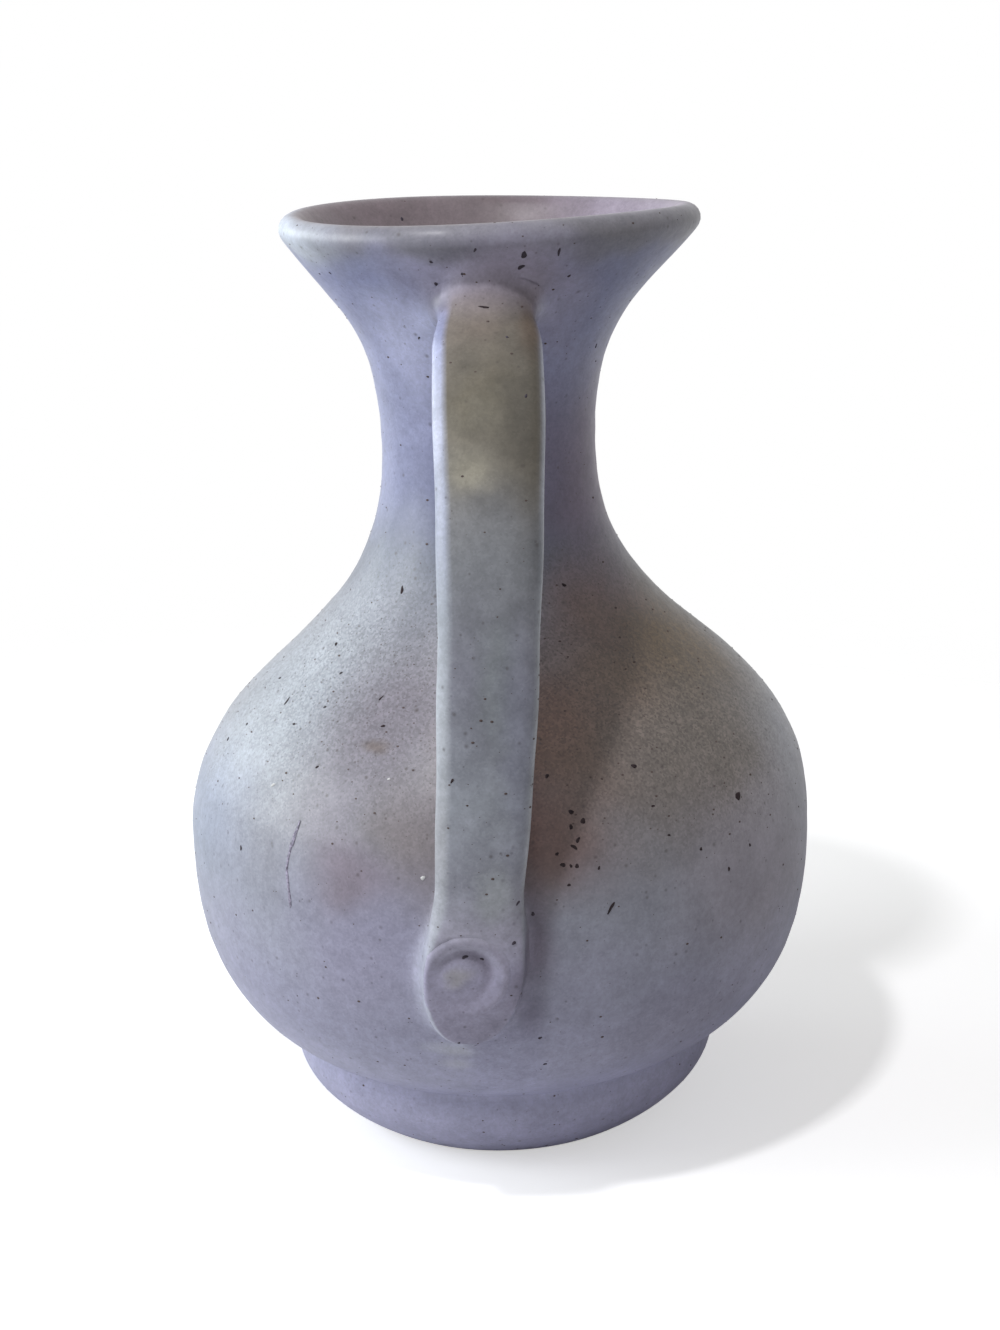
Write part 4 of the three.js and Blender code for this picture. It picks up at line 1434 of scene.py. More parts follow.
def lay_patch(tree, place, colour, label, centre, turn, reach, tint, amount):
    """One soft patch over a colour."""
    inputs = {
        "Place": place,
        "Base": colour,
        "Centre": centre,
        "Turn": -turn,
        "Reach": reach,
        "Tint": (*tint, 1),
        "Amount": amount,
    }
    return add_node(tree, "ShaderNodeGroup", inputs, node_tree=patch_group, label=label).outputs["Colour"]


print("group:", patch_group.name)

# %% Colours by height
WALL_COLOURS = {
    0.000: (0.38, 0.37, 0.52),
    0.020: (0.355, 0.355, 0.50),
    0.045: (0.32, 0.32, 0.44),
    0.070: (0.30, 0.31, 0.38),
    0.095: (0.275, 0.28, 0.315),
    0.118: (0.255, 0.265, 0.30),
    0.138: (0.155, 0.17, 0.217),
    0.155: (0.20, 0.215, 0.335),
    0.168: (0.27, 0.285, 0.44),
    0.180: (0.30, 0.315, 0.485),
    0.197: (0.222, 0.242, 0.415),
    0.2015: (0.222, 0.24, 0.39),
    0.2045: (0.22, 0.222, 0.285),
    0.208: (0.22, 0.215, 0.245),
}
STRAP_COLOURS = {
    0.045: (0.33, 0.31, 0.42),
    0.062: (0.375, 0.36, 0.49),
    0.072: (0.42, 0.41, 0.51),
    0.082: (0.305, 0.315, 0.375),
    0.100: (0.33, 0.353, 0.405),
    0.125: (0.252, 0.258, 0.313),
    0.147: (0.218, 0.228, 0.25),
    0.1545: (0.213, 0.217, 0.23),
    0.1615: (0.202, 0.195, 0.185),
    0.1655: (0.21, 0.195, 0.165),
    0.170: (0.195, 0.177, 0.142),
    0.1745: (0.163, 0.148, 0.114),
    0.180: (0.150, 0.133, 0.099),
    0.1865: (0.155, 0.136, 0.110),
    0.192: (0.205, 0.175, 0.148),
    0.200: (0.18, 0.15, 0.137),
}
print("listed colours:", len(WALL_COLOURS), "up the wall,", len(STRAP_COLOURS), "up the strap")

# %% Colours across the mouth
# Each mouth colour belongs to a place from left to right.
MOUTH_COLOURS = {
    -0.030: (0.215, 0.172, 0.19),
    -0.010: (0.195, 0.158, 0.172),
    0.003: (0.148, 0.115, 0.126),
    0.014: (0.182, 0.145, 0.168),
    0.027: (0.30, 0.26, 0.325),
}


def colour_ramp(tree, value, low, high, colours):
    """A colour for each value, from a few listed ones."""
    node = add_node(tree, "ShaderNodeValToRGB", {0: ramp(tree, value, low, high)})
    stops = node.color_ramp.elements
    while len(stops) < len(colours):
        stops.new(1)
    for stop, (level, colour) in zip(stops, colours.items()):
        stop.position = (level - low) / (high - low)
        stop.color = (*colour, 1)
    return node.outputs["Color"]


print("listed colours across the mouth:", len(MOUTH_COLOURS))

# %% Patches on the wall
# Each wall patch: turn from the front handle in degrees, height, reach across and up, tint, amount.
WALL_PATCHES = {
    "grey green left shoulder": (-66, 0.106, 0.044, 0.032, (0.305, 0.33, 0.37), 0.85),
    "blue left belly": (-72, 0.080, 0.040, 0.026, (0.285, 0.32, 0.41), 0.8),
    "mauve left of the strap": (-24, 0.108, 0.030, 0.036, (0.185, 0.168, 0.20), 0.9),
    "brown left of the strap": (-13, 0.086, 0.024, 0.026, (0.205, 0.18, 0.19), 0.9),
    "umber right of the strap": (14, 0.106, 0.032, 0.043, (0.148, 0.085, 0.064), 0.95),
    "umber beside the strap's foot": (8, 0.089, 0.020, 0.021, (0.15, 0.088, 0.078), 0.9),
    "brown upper right shoulder": (44, 0.124, 0.026, 0.020, (0.205, 0.138, 0.138), 0.9),
    "rust on the right shoulder": (36, 0.112, 0.017, 0.014, (0.23, 0.14, 0.105), 0.7),
    # Olive glaze, darkened further as painted shade against the sheen along the right edge.
    "olive and painted shade on the right shoulder": (66, 0.114, 0.044, 0.028, (0.085, 0.05, 0.015), 0.95),
    "grey olive right belly": (42, 0.098, 0.042, 0.030, (0.16, 0.133, 0.11), 0.85),
    "mauve left of the pad": (-24, 0.064, 0.030, 0.026, (0.31, 0.30, 0.42), 0.8),
    # Mauve glaze, with painted shade that trims the lower edge of the left shoulder's highlight.
    "mauve and painted shade under the left shoulder": (-31, 0.091, 0.0130, 0.023, (0.222, 0.208, 0.25), 0.85),
    "rose on the left belly": (-26.5, 0.0785, 0.0125, 0.011, (0.225, 0.19, 0.235), 0.8),
    "dusk on the lower right": (52, 0.072, 0.040, 0.030, (0.36, 0.33, 0.39), 0.7),
    "dusk low on the right": (34, 0.040, 0.032, 0.016, (0.235, 0.23, 0.31), 0.7),
    # Purple brown glaze, with painted shade against the sheen on the neck's right edge.
    "purple brown and painted shade on the neck": (64, 0.152, 0.030, 0.036, (0.165, 0.125, 0.185), 0.85),
    "tan over the root": (4, 0.1970, 0.017, 0.012, (0.36, 0.29, 0.285), 0.9),
    # Painted shade where the root's top catches the light.
    "painted shade on the root's left": (-10, 0.1955, 0.011, 0.011, (0.125, 0.107, 0.112), 0.85),
    # Painted light on the neck where the strap's root shades it.
    "painted light on the neck left of the root": (-31, 0.184, 0.0165, 0.028, (0.50, 0.52, 0.74), 0.9),
    "pale neck right of the root": (26, 0.190, 0.012, 0.024, (0.37, 0.36, 0.51), 0.8),
    "pale left of the neck": (-78, 0.166, 0.014, 0.036, (0.33, 0.35, 0.52), 0.7),
    "pale flare in front": (2, 0.2005, 0.031, 0.011, (0.47, 0.44, 0.59), 0.85),
    # Painted shade over the light that falls on the front of the lip.
    "painted shade on the front of the lip": (-18, 0.2060, 0.018, 0.004, (0.17, 0.17, 0.20), 0.6),
    # A painted highlight on the lip's left end.
    "painted highlight on the end of the lip": (-78, 0.206, 0.034, 0.008, (0.52, 0.57, 0.66), 0.9),
    "olive behind on the left": (-152, 0.100, 0.038, 0.030, (0.23, 0.19, 0.14), 0.8),
    "umber behind on the right": (163, 0.112, 0.030, 0.030, (0.19, 0.14, 0.125), 0.8),
    "grey green behind": (118, 0.084, 0.044, 0.034, (0.34, 0.36, 0.38), 0.7),
    "mauve behind": (-112, 0.070, 0.040, 0.030, (0.26, 0.24, 0.31), 0.6),
}
print("wall patches:", len(WALL_PATCHES))

# %% Small patches on the wall
# Painted shadow of the pad beside and under it, pale smears and one smudge, in the same terms.
SMALL_PATCHES = {
    # The first three are painted shadow that the pad casts down and to the right.
    "painted shadow right of the pad": (5.0, 0.0675, 0.0065, 0.0165, (0.125, 0.09, 0.135), 0.65),
    "painted shadow at the pad's lower right": (4.1, 0.0510, 0.0055, 0.0080, (0.13, 0.115, 0.17), 0.6),
    "painted shadow under the pad": (2.2, 0.0455, 0.0080, 0.0036, (0.17, 0.155, 0.23), 0.25),
    "pale smear left under the pad": (-11.5, 0.0415, 0.0070, 0.0026, (0.46, 0.48, 0.55), 0.45),
    "pale smear under the pad": (-8.5, 0.0405, 0.0050, 0.0022, (0.50, 0.51, 0.57), 0.5),
    "pale smear further down": (-9.5, 0.0370, 0.0050, 0.0026, (0.45, 0.46, 0.52), 0.5),
    "brown smudge on the left": (-27, 0.1035, 0.0050, 0.0018, (0.13, 0.10, 0.09), 0.8),
}


def lay_on_wall(tree, place, colour, patches):
    """Patches on the wall, each placed by its turn and its height."""
    for label, (degrees, height, across, tall, tint, amount) in patches.items():
        turn = math.radians(degrees)
        radius = wall_radius(height)
        centre = (radius * math.sin(turn), -radius * math.cos(turn), height)
        colour = lay_patch(tree, place, colour, label, centre, turn, (across, across, tall), tint, amount)
    return colour


print("small wall patches:", len(SMALL_PATCHES))

# %% Patches on the straps
# Each strap patch: place across, height, reach across and up, tint, amount.
STRAP_PATCHES = {
    "dark olive on the right": (0.0070, 0.174, 0.0070, 0.028, (0.095, 0.085, 0.07), 0.85),
    "ochre in the middle": (-0.0045, 0.1645, 0.0080, 0.0065, (0.36, 0.335, 0.265), 0.7),
    "green grey in the middle": (0.000, 0.124, 0.0060, 0.020, (0.245, 0.27, 0.29), 0.7),
    "blue grey on the right": (0.004, 0.110, 0.0060, 0.034, (0.24, 0.25, 0.33), 0.6),
    "tan at the root": (-0.001, 0.1925, 0.0080, 0.007, (0.19, 0.155, 0.13), 0.6),
    "pale green over the roundel": (-0.002, 0.080, 0.0060, 0.009, (0.37, 0.395, 0.42), 0.7),
    "yellow on the boss": (-0.0098, 0.0620, 0.0034, 0.0034, (0.46, 0.45, 0.43), 0.6),
}
# These lie over the strap's pale edges too, in the same terms. The first is brown glaze with painted
# shade over the root's lit top, and the corner and the pad's lower right are painted shade.
EDGE_PATCHES = {
    # Brown glaze and painted shade on the root's lit top.
    "brown and painted shade on top of the root": (-0.0050, 0.1958, 0.0095, 0.0042, (0.15, 0.115, 0.085), 0.7),
    # Painted shade on the root's corner.
    "painted shade on the root's corner": (-0.0108, 0.1948, 0.0045, 0.0042, (0.10, 0.09, 0.10), 0.85),
    "brown on the right of the root": (0.0088, 0.1898, 0.0040, 0.0080, (0.10, 0.07, 0.05), 0.7),
    # Painted shade on the pad's right slope, which faces away from the light.
    "painted shade on the pad's lower right": (0.0064, 0.0555, 0.0080, 0.0160, (0.12, 0.10, 0.15), 0.75),
}
THROUGH_THE_VASE = 1


def lay_on_strap(tree, place, colour, patches):
    """Patches on both straps, each deeper than the vase, so that one serves front and rear."""
    for label, (side, height, across, tall, tint, amount) in patches.items():
        reach = (across, THROUGH_THE_VASE, tall)
        colour = lay_patch(tree, place, colour, label, (side, 0, height), 0, reach, tint, amount)
    return colour


print("strap patches:", len(STRAP_PATCHES) + len(EDGE_PATCHES))

# %% [markdown]
# ## The glaze's grain
# From close by a satin glaze is not smooth in colour: crystals make it cloudy at eight millimetres
# and mottled at two, and below that it is sandy, with a pepper of tiny dots and a dust of rarer,
# larger ones where iron comes through. One group adds all five to a colour, each by its own
# amount. A second group gives the skin: a slow swell, an orange peel and a few pinholes for the
# Bump node, and a roughness that varies a little, so that highlights break up.

# %% Group for the grain
# Each noise: scale per metre, detail. Each kind of dots: cells per metre, rareness, largest size.
CLOUD_NOISE = (130, 4)
MOTTLE_NOISE = (560, 3)
SAND_SCALE = 2100
PEPPER_DOTS = (1050, 1.6, 0.42)
DUST_DOTS = (470, 2.8, 0.36)
DUST_COLOUR = (0.055, 0.042, 0.042, 1)
GRAIN_AMOUNTS = ("Clouding", "Mottling", "Graining", "Dust", "Pepper")


def lighter_darker(tree, colour, value, strength):
    """A colour made lighter and darker by a noise around one half."""
    swing = math_node(tree, "MULTIPLY_ADD", math_node(tree, "SUBTRACT", value, 0.5), strength, 1)
    return vector_node(tree, "SCALE", {0: colour, "Scale": swing})


def dots(tree, place, scale, rareness, largest):
    """A mask of soft round dots of random size, one in each cell of a Voronoi pattern."""
    cells = add_node(tree, "ShaderNodeTexVoronoi", {"Vector": place, "Scale": scale}).outputs
    cell_luck = add_node(tree, "ShaderNodeSeparateColor", {0: cells["Color"]}).outputs[0]
    size = math_node(tree, "MULTIPLY", math_node(tree, "POWER", cell_luck, rareness), largest)
    return ramp(tree, cells["Distance"], size, 0, ease="SMOOTHSTEP")


grain_inputs = {"Place": "Vector", "Base": "Color"} | dict.fromkeys(GRAIN_AMOUNTS, "Float")
grain_group, given, made = new_tree("glaze_grain", "ShaderNodeTree", grain_inputs, {"Colour": "Color"})
cloudy = noise(grain_group, given["Place"], *CLOUD_NOISE)[0]
cloudy_colour = lighter_darker(grain_group, given["Base"], cloudy, given["Clouding"])
mottle = noise(grain_group, given["Place"], *MOTTLE_NOISE)[0]
mottled_colour = lighter_darker(grain_group, cloudy_colour, mottle, given["Mottling"])
sand_inputs = {"Vector": given["Place"], "Scale": SAND_SCALE}
sand_cells = add_node(grain_group, "ShaderNodeTexVoronoi", sand_inputs).outputs["Color"]
sand = add_node(grain_group, "ShaderNodeSeparateColor", {0: sand_cells}).outputs[1]
sandy_colour = lighter_darker(grain_group, mottled_colour, sand, given["Graining"])
pepper = dots(grain_group, given["Place"], *PEPPER_DOTS)
pepper = math_node(grain_group, "MULTIPLY", pepper, given["Pepper"])
peppered = mix_colour(grain_group, pepper, sandy_colour, DUST_COLOUR)
dust = dots(grain_group, given["Place"], *DUST_DOTS)
dust = math_node(grain_group, "MULTIPLY", dust, given["Dust"])
dusted = mix_colour(grain_group, dust, peppered, DUST_COLOUR)
grain_group.links.new(dusted, made["Colour"])
print("group:", grain_group.name, "with", len(grain_group.nodes), "nodes")

# %% Group for the skin
SWELL_NOISE = (170, 2)
PEEL_NOISE = (900, 3)
PEEL_SHARE = 0.25
PINHOLES = (240, 6, 0.11)
PINHOLE_DEPTH = 0.8
GLOSS_NOISE = (320, 3)
SATIN_ROUGHNESS = 0.43

skin_inputs = {"Place": "Vector", "Gloss Spread": "Float"}
skin_outputs = {"Height": "Float", "Roughness": "Float"}
skin_group, given, made = new_tree("glaze_skin", "ShaderNodeTree", skin_inputs, skin_outputs)
swell = noise(skin_group, given["Place"], *SWELL_NOISE)[0]
peel = noise(skin_group, given["Place"], *PEEL_NOISE)[0]
peeled = math_node(skin_group, "MULTIPLY_ADD", peel, PEEL_SHARE, swell)
hole = dots(skin_group, given["Place"], *PINHOLES)
holed = math_node(skin_group, "MULTIPLY_ADD", hole, -PINHOLE_DEPTH, peeled)
skin_group.links.new(holed, made["Height"])
gloss = math_node(skin_group, "SUBTRACT", noise(skin_group, given["Place"], *GLOSS_NOISE)[0], 0.5)
gloss_swing = math_node(skin_group, "MULTIPLY", gloss, given["Gloss Spread"])
skin_group.links.new(math_node(skin_group, "ADD", gloss_swing, SATIN_ROUGHNESS), made["Roughness"])
print("group:", skin_group.name, "with", len(skin_group.nodes), "nodes")

# %% [markdown]
# ## Mixing the glaze
# Body, handles and roundels came out of one bucket, so they share one material. It reads four
# numbers that the meshes carry on their vertices: how far a place is on the strap, on the strap's
# face, inside the mouth, and how high the roundel's relief is there. Where a mesh lacks one of
# them, it reads as 0. Wall and strap colours meet through the first, so the colours run into each
# other where the clay does. The strap's edges are paler, partly because glaze runs thin over an
# edge and partly as a painted highlight, strongest along the shaded right edge, and its face is
# more matt than the wall.

# %% Colours of the wall
# Each cloud: its noise's scale per metre, and how far it moves a place.
WALL_CLOUD = (42, 0.016)
SMALL_CLOUD = (330, 0.0016)


def start_material(material):
    """A material's tree, its Principled shader and its Object coordinates."""
    material.use_nodes = True
    tree = material.node_tree
    return tree, tree.nodes["Principled BSDF"], add_node(tree, "ShaderNodeTexCoord").outputs["Object"]


def attribute(tree, name):
    """A number that the piece carries on its vertices."""
    return add_node(tree, "ShaderNodeAttribute", attribute_name=name).outputs["Fac"]


glaze, glaze_shader, glaze_place = start_material(satin_glaze)
wall_place = clouded(glaze, glaze_place, *WALL_CLOUD)
wall_parts = add_node(glaze, "ShaderNodeSeparateXYZ", {0: wall_place}).outputs
to_the_right = wall_parts["X"]
up_the_vase = wall_parts["Z"]
wall_colour = colour_ramp(glaze, up_the_vase, 0, VASE_HEIGHT, WALL_COLOURS)
wall_colour = lay_on_wall(glaze, wall_place, wall_colour, WALL_PATCHES)
small_place = clouded(glaze, glaze_place, *SMALL_CLOUD)
wall_colour = lay_on_wall(glaze, small_place, wall_colour, SMALL_PATCHES)
print("wall's colours:", len(glaze.nodes), "nodes")

# %% Colours of the strap
STRAP_CLOUD = (150, 0.006)
# The pale edge colour is partly thin glaze and partly painted highlight, brightest on the right edge,
# which is in shade.
STRAP_EDGE_AND_HIGHLIGHT = (0.66, 0.71, 0.775, 1)
EDGE_PALING_AND_HIGHLIGHT_LEFT = 0.34
EDGE_PALING_AND_HIGHLIGHT_RIGHT = 0.6
# Where the paling and its painted highlight begin and end: up the right edge from the pad, from left to
# right, and at the root.
ABOVE_THE_PAD = (0.066, 0.086)
LEFT_TO_RIGHT = (-0.008, -0.002)
BELOW_THE_ROOT = (0.194, 0.180)

strap_place = clouded(glaze, glaze_place, *STRAP_CLOUD)
face_colour = colour_ramp(glaze, up_the_vase, 0, VASE_HEIGHT, STRAP_COLOURS)
face_colour = lay_on_strap(glaze, strap_place, face_colour, STRAP_PATCHES)
right_paling_and_highlight = ramp(glaze, up_the_vase, *ABOVE_THE_PAD, 0, EDGE_PALING_AND_HIGHLIGHT_RIGHT)
paling_and_highlight = ramp(glaze, to_the_right, *LEFT_TO_RIGHT, EDGE_PALING_AND_HIGHLIGHT_LEFT, right_paling_and_highlight)
below_root = ramp(glaze, up_the_vase, *BELOW_THE_ROOT)
edge_and_highlight_share = math_node(glaze, "MULTIPLY", below_root, paling_and_highlight)
edge_and_highlight_colour = mix_colour(glaze, edge_and_highlight_share, wall_colour, STRAP_EDGE_AND_HIGHLIGHT)
on_face = attribute(glaze, "on_face")
strap_colour = mix_colour(glaze, on_face, edge_and_highlight_colour, face_colour)
strap_colour = lay_on_strap(glaze, small_place, strap_colour, EDGE_PATCHES)
on_strap = attribute(glaze, "on_strap")
glaze_colour = mix_colour(glaze, on_strap, wall_colour, strap_colour)
print("with the strap's colours:", len(glaze.nodes), "nodes")

# %% Colours of the mouth and the roundel
MOUTH_REACH = 0.05
GROOVE_RELIEF = (-0.0002, -0.0009)
GROOVE_TINT = (0.23, 0.21, 0.29, 1)
CREST_RELIEF = (0.00008, 0.0005)
CREST_TINT = (0.36, 0.34, 0.45, 1)

mouth_colour = colour_ramp(glaze, to_the_right, -MOUTH_REACH, MOUTH_REACH, MOUTH_COLOURS)
glaze_colour = mix_colour(glaze, attribute(glaze, "inside"), glaze_colour, mouth_colour)
relief_height = attribute(glaze, "relief")
in_groove = ramp(glaze, relief_height, *GROOVE_RELIEF)
glaze_colour = mix_colour(glaze, in_groove, glaze_colour, GROOVE_TINT)
on_crest = ramp(glaze, relief_height, *CREST_RELIEF)
glaze_colour = mix_colour(glaze, on_crest, glaze_colour, CREST_TINT)
print("with mouth and roundel:", len(glaze.nodes), "nodes")

# %% Grain and gloss of the glaze
SANDY_RISE = (0.080, 0.108)
SANDY_FALL = (0.144, 0.120)
CLUMPED_SIDE = (0, 0.04)
CLUMPED_GRAINING = 0.35
GLAZE_GLOSS_SPREAD = 0.2
BUMP_DEPTH = 0.00012
GLAZE_BUMP = 0.6
FACE_MATTNESS = 0.26

on_shoulder = math_node(
    glaze, "MULTIPLY", ramp(glaze, up_the_vase, *SANDY_RISE), ramp(glaze, up_the_vase, *SANDY_FALL)
)
sandy = math_node(glaze, "MULTIPLY", on_shoulder, math_node(glaze, "SUBTRACT", 1, on_strap))
clumped = math_node(glaze, "MULTIPLY", sandy, ramp(glaze, to_the_right, *CLUMPED_SIDE))
# Each amount: the mask where there is more of it, how much more, and how much everywhere.
glaze_amounts = {
    "Clouding": (on_strap, 0.5, 0.45),
    "Mottling": (clumped, 0.5, 0.4),
    "Graining": (sandy, 0.33, 0.14),
    "Dust": (sandy, 0.35, 0.55),
    "Pepper": (sandy, 0.85, 0.10),
}
glaze_grain = {name: math_node(glaze, "MULTIPLY_ADD", *amount) for name, amount in glaze_amounts.items()}
more_sand = math_node(glaze, "MULTIPLY_ADD", clumped, CLUMPED_GRAINING, glaze_grain["Graining"])
glaze_grain |= {"Graining": more_sand, "Place": glaze_place, "Base": glaze_colour}
finished = add_node(glaze, "ShaderNodeGroup", glaze_grain, node_tree=grain_group).outputs[0]
skin_values = {"Place": glaze_place, "Gloss Spread": GLAZE_GLOSS_SPREAD}
surface = add_node(glaze, "ShaderNodeGroup", skin_values, node_tree=skin_group).outputs
matt_face = math_node(glaze, "MULTIPLY_ADD", on_face, FACE_MATTNESS, surface["Roughness"])
bump_values = {"Height": surface["Height"], "Distance": BUMP_DEPTH, "Strength": GLAZE_BUMP}
bump = add_node(glaze, "ShaderNodeBump", bump_values).outputs[0]
glaze.links.new(finished, glaze_shader.inputs["Base Color"])
glaze.links.new(matt_face, glaze_shader.inputs["Roughness"])
glaze.links.new(bump, glaze_shader.inputs["Normal"])
print("whole satin glaze:", len(glaze.nodes), "nodes")

# %% [markdown]
# ## Clay, chips, iron and pits
# The ring that the vase stands on was wiped clean of glaze, so bare buff stoneware shows there.
# Chips show pale clay, and the run is a darker, thicker line of the same glaze. These three get
# the grain and the skin of the glaze by its groups. Iron specks and pits are near black, with
# brown where a noise says so. The soft pits on flare and pad are paler, because glaze half closed
# them.

# %% Mix bare clay, chips and the run
BARE_CLAY = (0.46, 0.38, 0.29, 1)
CHIP_PALE = (0.62, 0.62, 0.62, 1)
RUN_DARK = (0.265, 0.245, 0.325, 1)
FINISH_GLOSS_SPREAD = 0.3
FINISH_ROUGHER = 0.2

bare_clay = bpy.data.materials.new("bare_clay")
# Each finish: its colour, then its clouding, mottling, graining, dust and pepper.
grainy_finishes = {
    bare_clay: (BARE_CLAY, 0.5, 0.6, 1.2, 1, 0.4),
    chip_clay: (CHIP_PALE, 0.2, 0.3, 0.4, 0, 0),
    run_glaze: (RUN_DARK, 0.4, 0.5, 0.8, 0, 0),
}
for material, (colour, *amounts) in grainy_finishes.items():
    tree, shader, place = start_material(material)
    grain_values = {"Place": place, "Base": colour} | dict(zip(GRAIN_AMOUNTS, amounts))
    grained = add_node(tree, "ShaderNodeGroup", grain_values, node_tree=grain_group).outputs[0]
    skin_values = {"Place": place, "Gloss Spread": FINISH_GLOSS_SPREAD}
    surface = add_node(tree, "ShaderNodeGroup", skin_values, node_tree=skin_group).outputs
    rougher = math_node(tree, "ADD", surface["Roughness"], FINISH_ROUGHER)
    bump_values = {"Height": surface["Height"], "Distance": BUMP_DEPTH}
    bump = add_node(tree, "ShaderNodeBump", bump_values).outputs[0]
    tree.links.new(grained, shader.inputs["Base Color"])
    tree.links.new(rougher, shader.inputs["Roughness"])
    tree.links.new(bump, shader.inputs["Normal"])
    print(material.name, len(tree.nodes), "nodes")

# %% Mix iron and pits
IRON_DARK = (0.06, 0.045, 0.045, 1)
IRON_BROWN = (0.17, 0.13, 0.12, 1)
PIT_DARK = (0.014, 0.012, 0.018, 1)
PIT_BROWN = (0.07, 0.05, 0.05, 1)
SOFT_DARK = (0.035, 0.03, 0.045, 1)
SOFT_BROWN = (0.11, 0.095, 0.115, 1)
RUST_NOISE = (2200, 2)
ROUGH_NOISE = (1600, 2)
ROUGH_SPREAD = 0.3
ROUGH_LEAST = 0.6
SPOT_SPECULAR = 0.1

dark_spots = {
    iron: (IRON_DARK, IRON_BROWN),
    burst_glaze: (PIT_DARK, PIT_BROWN),
    soft_glaze: (SOFT_DARK, SOFT_BROWN),
}
for material, (dark, brown) in dark_spots.items():
    tree, shader, place = start_material(material)
    rust = mix_colour(tree, noise(tree, place, *RUST_NOISE)[0], dark, brown)
    rough = math_node(tree, "MULTIPLY_ADD", noise(tree, place, *ROUGH_NOISE)[0], ROUGH_SPREAD, ROUGH_LEAST)
    tree.links.new(rust, shader.inputs["Base Color"])
    tree.links.new(rough, shader.inputs["Roughness"])
    shader.inputs["Specular IOR Level"].default_value = SPOT_SPECULAR
    print(material.name, len(tree.nodes), "nodes")

# %% Bare the ring that the vase stands on
STANDING_HEIGHT = 0.0006

body.data.materials.clear()
body.data.materials.append(satin_glaze)
body.data.materials.append(bare_clay)
face_centres = np.empty(3 * len(body.data.polygons), np.float32)
body.data.polygons.foreach_get("center", face_centres)
stands_on = face_centres.reshape(-1, 3)[:, 2] < STANDING_HEIGHT
body.data.polygons.foreach_set("material_index", stands_on.astype(np.int32))
print("faces of bare clay:", int(stands_on.sum()))

# %% [markdown]
# ## Light and ground
# The light comes from a broad cool window on the left, a second one further back that lights the
# left edge, and a small skylight that throws the strap's shadow on the right shoulder. The room's
# weak light fills the rest. Area lamps and an even world give that. The ground is white: near the
# vase it is a real pale floor that takes the shadow, and it fades out into a white world that only
# the camera and reflections see, so that the vase gets no more light for it.

# %% Set the lamps
LIGHT_AIM = Vector((0, 0, 0.11))
# Each lamp: degrees round from the front and up, distance, size, watts, colour.
LAMPS = {
    "window": (-82, 22, 0.80, 0.45, 4.4, (0.93, 0.98, 1.0)),
    "far_window": (-122, 16, 0.80, 0.32, 1.6, (0.88, 0.97, 1.0)),
    "skylight": (-33, 62, 0.85, 0.06, 3.4, (0.98, 0.98, 1.0)),
}

for name, (degrees, rise, distance, lamp_size, watts, lamp_colour) in LAMPS.items():
    light = bpy.data.lights.new(name, "AREA")
    light.energy = watts
    light.size = lamp_size
    light.color = lamp_colour
    lamp = bpy.data.objects.new(name, light)
    swung = Matrix.Rotation(math.radians(degrees), 3, "Z")
    raised = Matrix.Rotation(math.radians(-rise), 3, "X")
    lamp_way = swung @ raised @ Vector((0, -1, 0))
    lamp.location = LIGHT_AIM + distance * lamp_way
    lamp.rotation_euler = (-lamp_way).to_track_quat("-Z", "Y").to_euler()
    scene.collection.objects.link(lamp)
    print(name, [round(value, 2) for value in lamp.location], watts, "W")

# %% Light the room
ROOM_LIGHT = (0.215, 0.207, 0.203, 1)
WHITE = (1, 1, 1, 1)


def seen_by(tree, *rays):
    """1 for the named kinds of ray, and 0 for all others."""
    kinds = add_node(tree, "ShaderNodeLightPath").outputs
    share = kinds[rays[0]]
    for ray in rays[1:]:
        share = math_node(tree, "MAXIMUM", share, kinds[ray])
    return share


world = bpy.data.worlds.new("white_room")
scene.world = world
world.use_nodes = True
room = world.node_tree
plain_view = seen_by(room, "Is Camera Ray", "Is Transmission Ray", "Is Glossy Ray")
room_colour = mix_colour(room, plain_view, ROOM_LIGHT, WHITE)
room.links.new(room_colour, room.nodes["Background"].inputs["Color"])
print("room:", ROOM_LIGHT[:3])

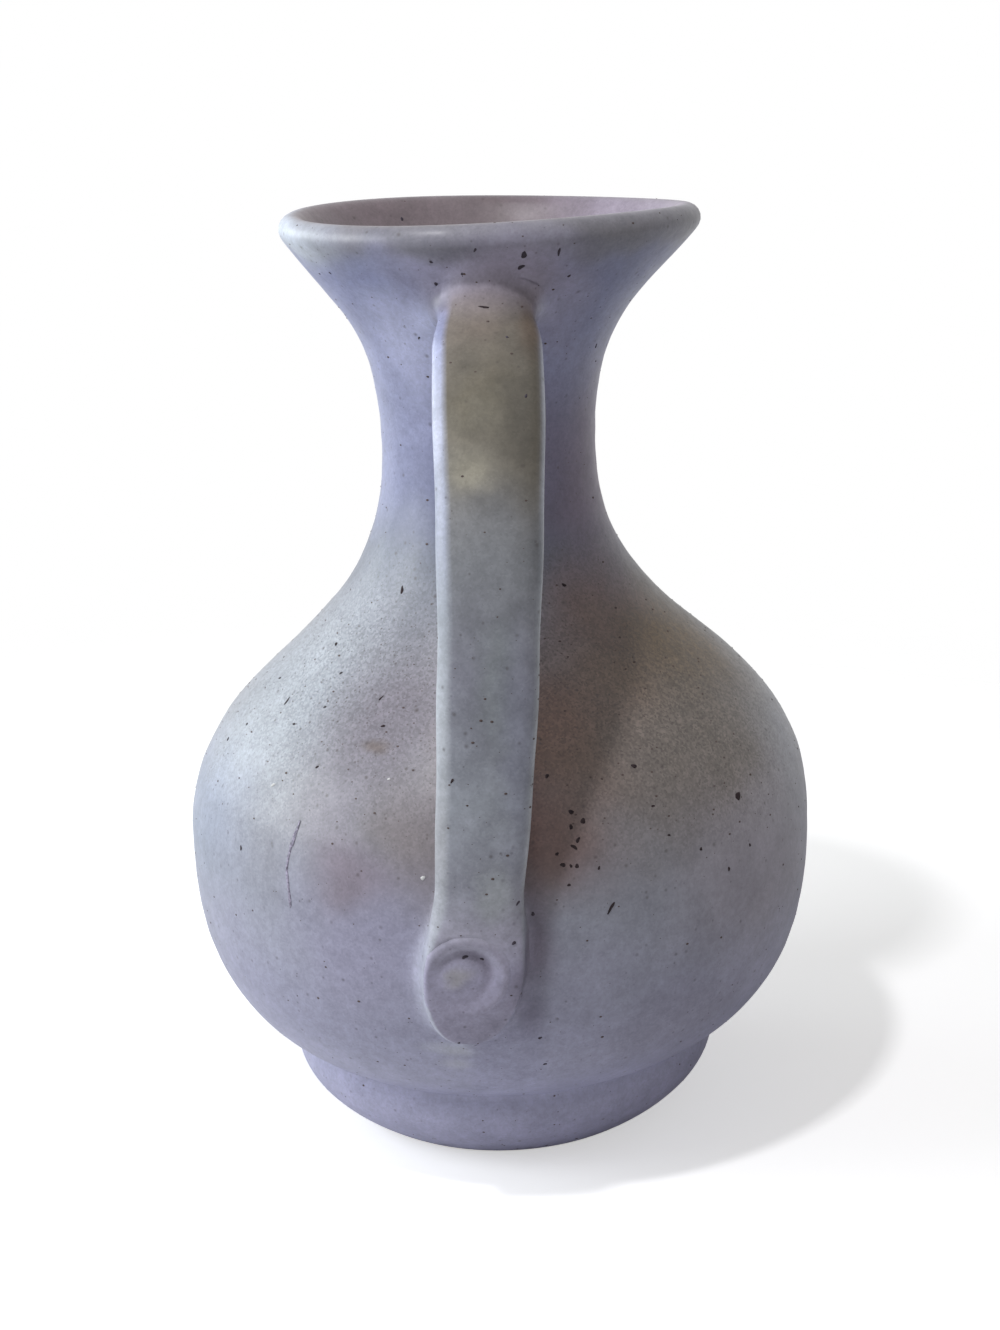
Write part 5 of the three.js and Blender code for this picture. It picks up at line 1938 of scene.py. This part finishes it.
# %% Lay the floor
FLOOR_REACH = 1.2
FLOOR_SIDES = 64
FLOOR_SOLID = 0.20
FLOOR_GONE = 0.46
FLOOR_PALE = (0.80, 0.80, 0.80, 1)
FLOOR_ROUGHNESS = 0.9
FLOOR_LIFT = 0.52

floor_mesh = bpy.data.meshes.new("floor")
floor_turns = np.linspace(0, 2 * math.pi, FLOOR_SIDES, endpoint=False)
floor_points = [(FLOOR_REACH * math.cos(turn), FLOOR_REACH * math.sin(turn), 0) for turn in floor_turns]
floor_mesh.from_pydata(floor_points, [], [tuple(range(FLOOR_SIDES))])
floor = bpy.data.objects.new("floor", floor_mesh)
scene.collection.objects.link(floor)

pale_floor = bpy.data.materials.new("pale_floor")
tree, shader, place = start_material(pale_floor)
from_middle = vector_node(tree, "LENGTH", {0: place}, "Value")
faded = ramp(tree, from_middle, FLOOR_SOLID, FLOOR_GONE, ease="SMOOTHSTEP")
shader.inputs["Base Color"].default_value = FLOOR_PALE
shader.inputs["Roughness"].default_value = FLOOR_ROUGHNESS
shader.inputs["Emission Color"].default_value = WHITE
lift = math_node(tree, "MULTIPLY", seen_by(tree, "Is Camera Ray", "Is Transmission Ray"), FLOOR_LIFT)
tree.links.new(lift, shader.inputs["Emission Strength"])
clear = add_node(tree, "ShaderNodeBsdfTransparent").outputs[0]
ground = add_node(tree, "ShaderNodeMixShader", {0: faded, 1: shader.outputs[0], 2: clear}).outputs[0]
tree.links.new(ground, tree.nodes["Material Output"].inputs["Surface"])
floor_mesh.materials.append(pale_floor)
print("floor:", 2 * FLOOR_REACH, "m across")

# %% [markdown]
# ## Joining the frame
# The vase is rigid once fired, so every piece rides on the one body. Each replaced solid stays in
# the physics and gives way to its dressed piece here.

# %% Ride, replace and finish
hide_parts("foot_ring", "bowl", "shoulder", "neck", "lip")
for side in handles:
    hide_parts(side + "_strap", side + "_upper_luting", side + "_lower_luting")
    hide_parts(side + "_roundel")
for piece in [body, *handles.values(), *roundels.values(), *speck_pieces, *mark_pieces]:
    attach(piece, "root")
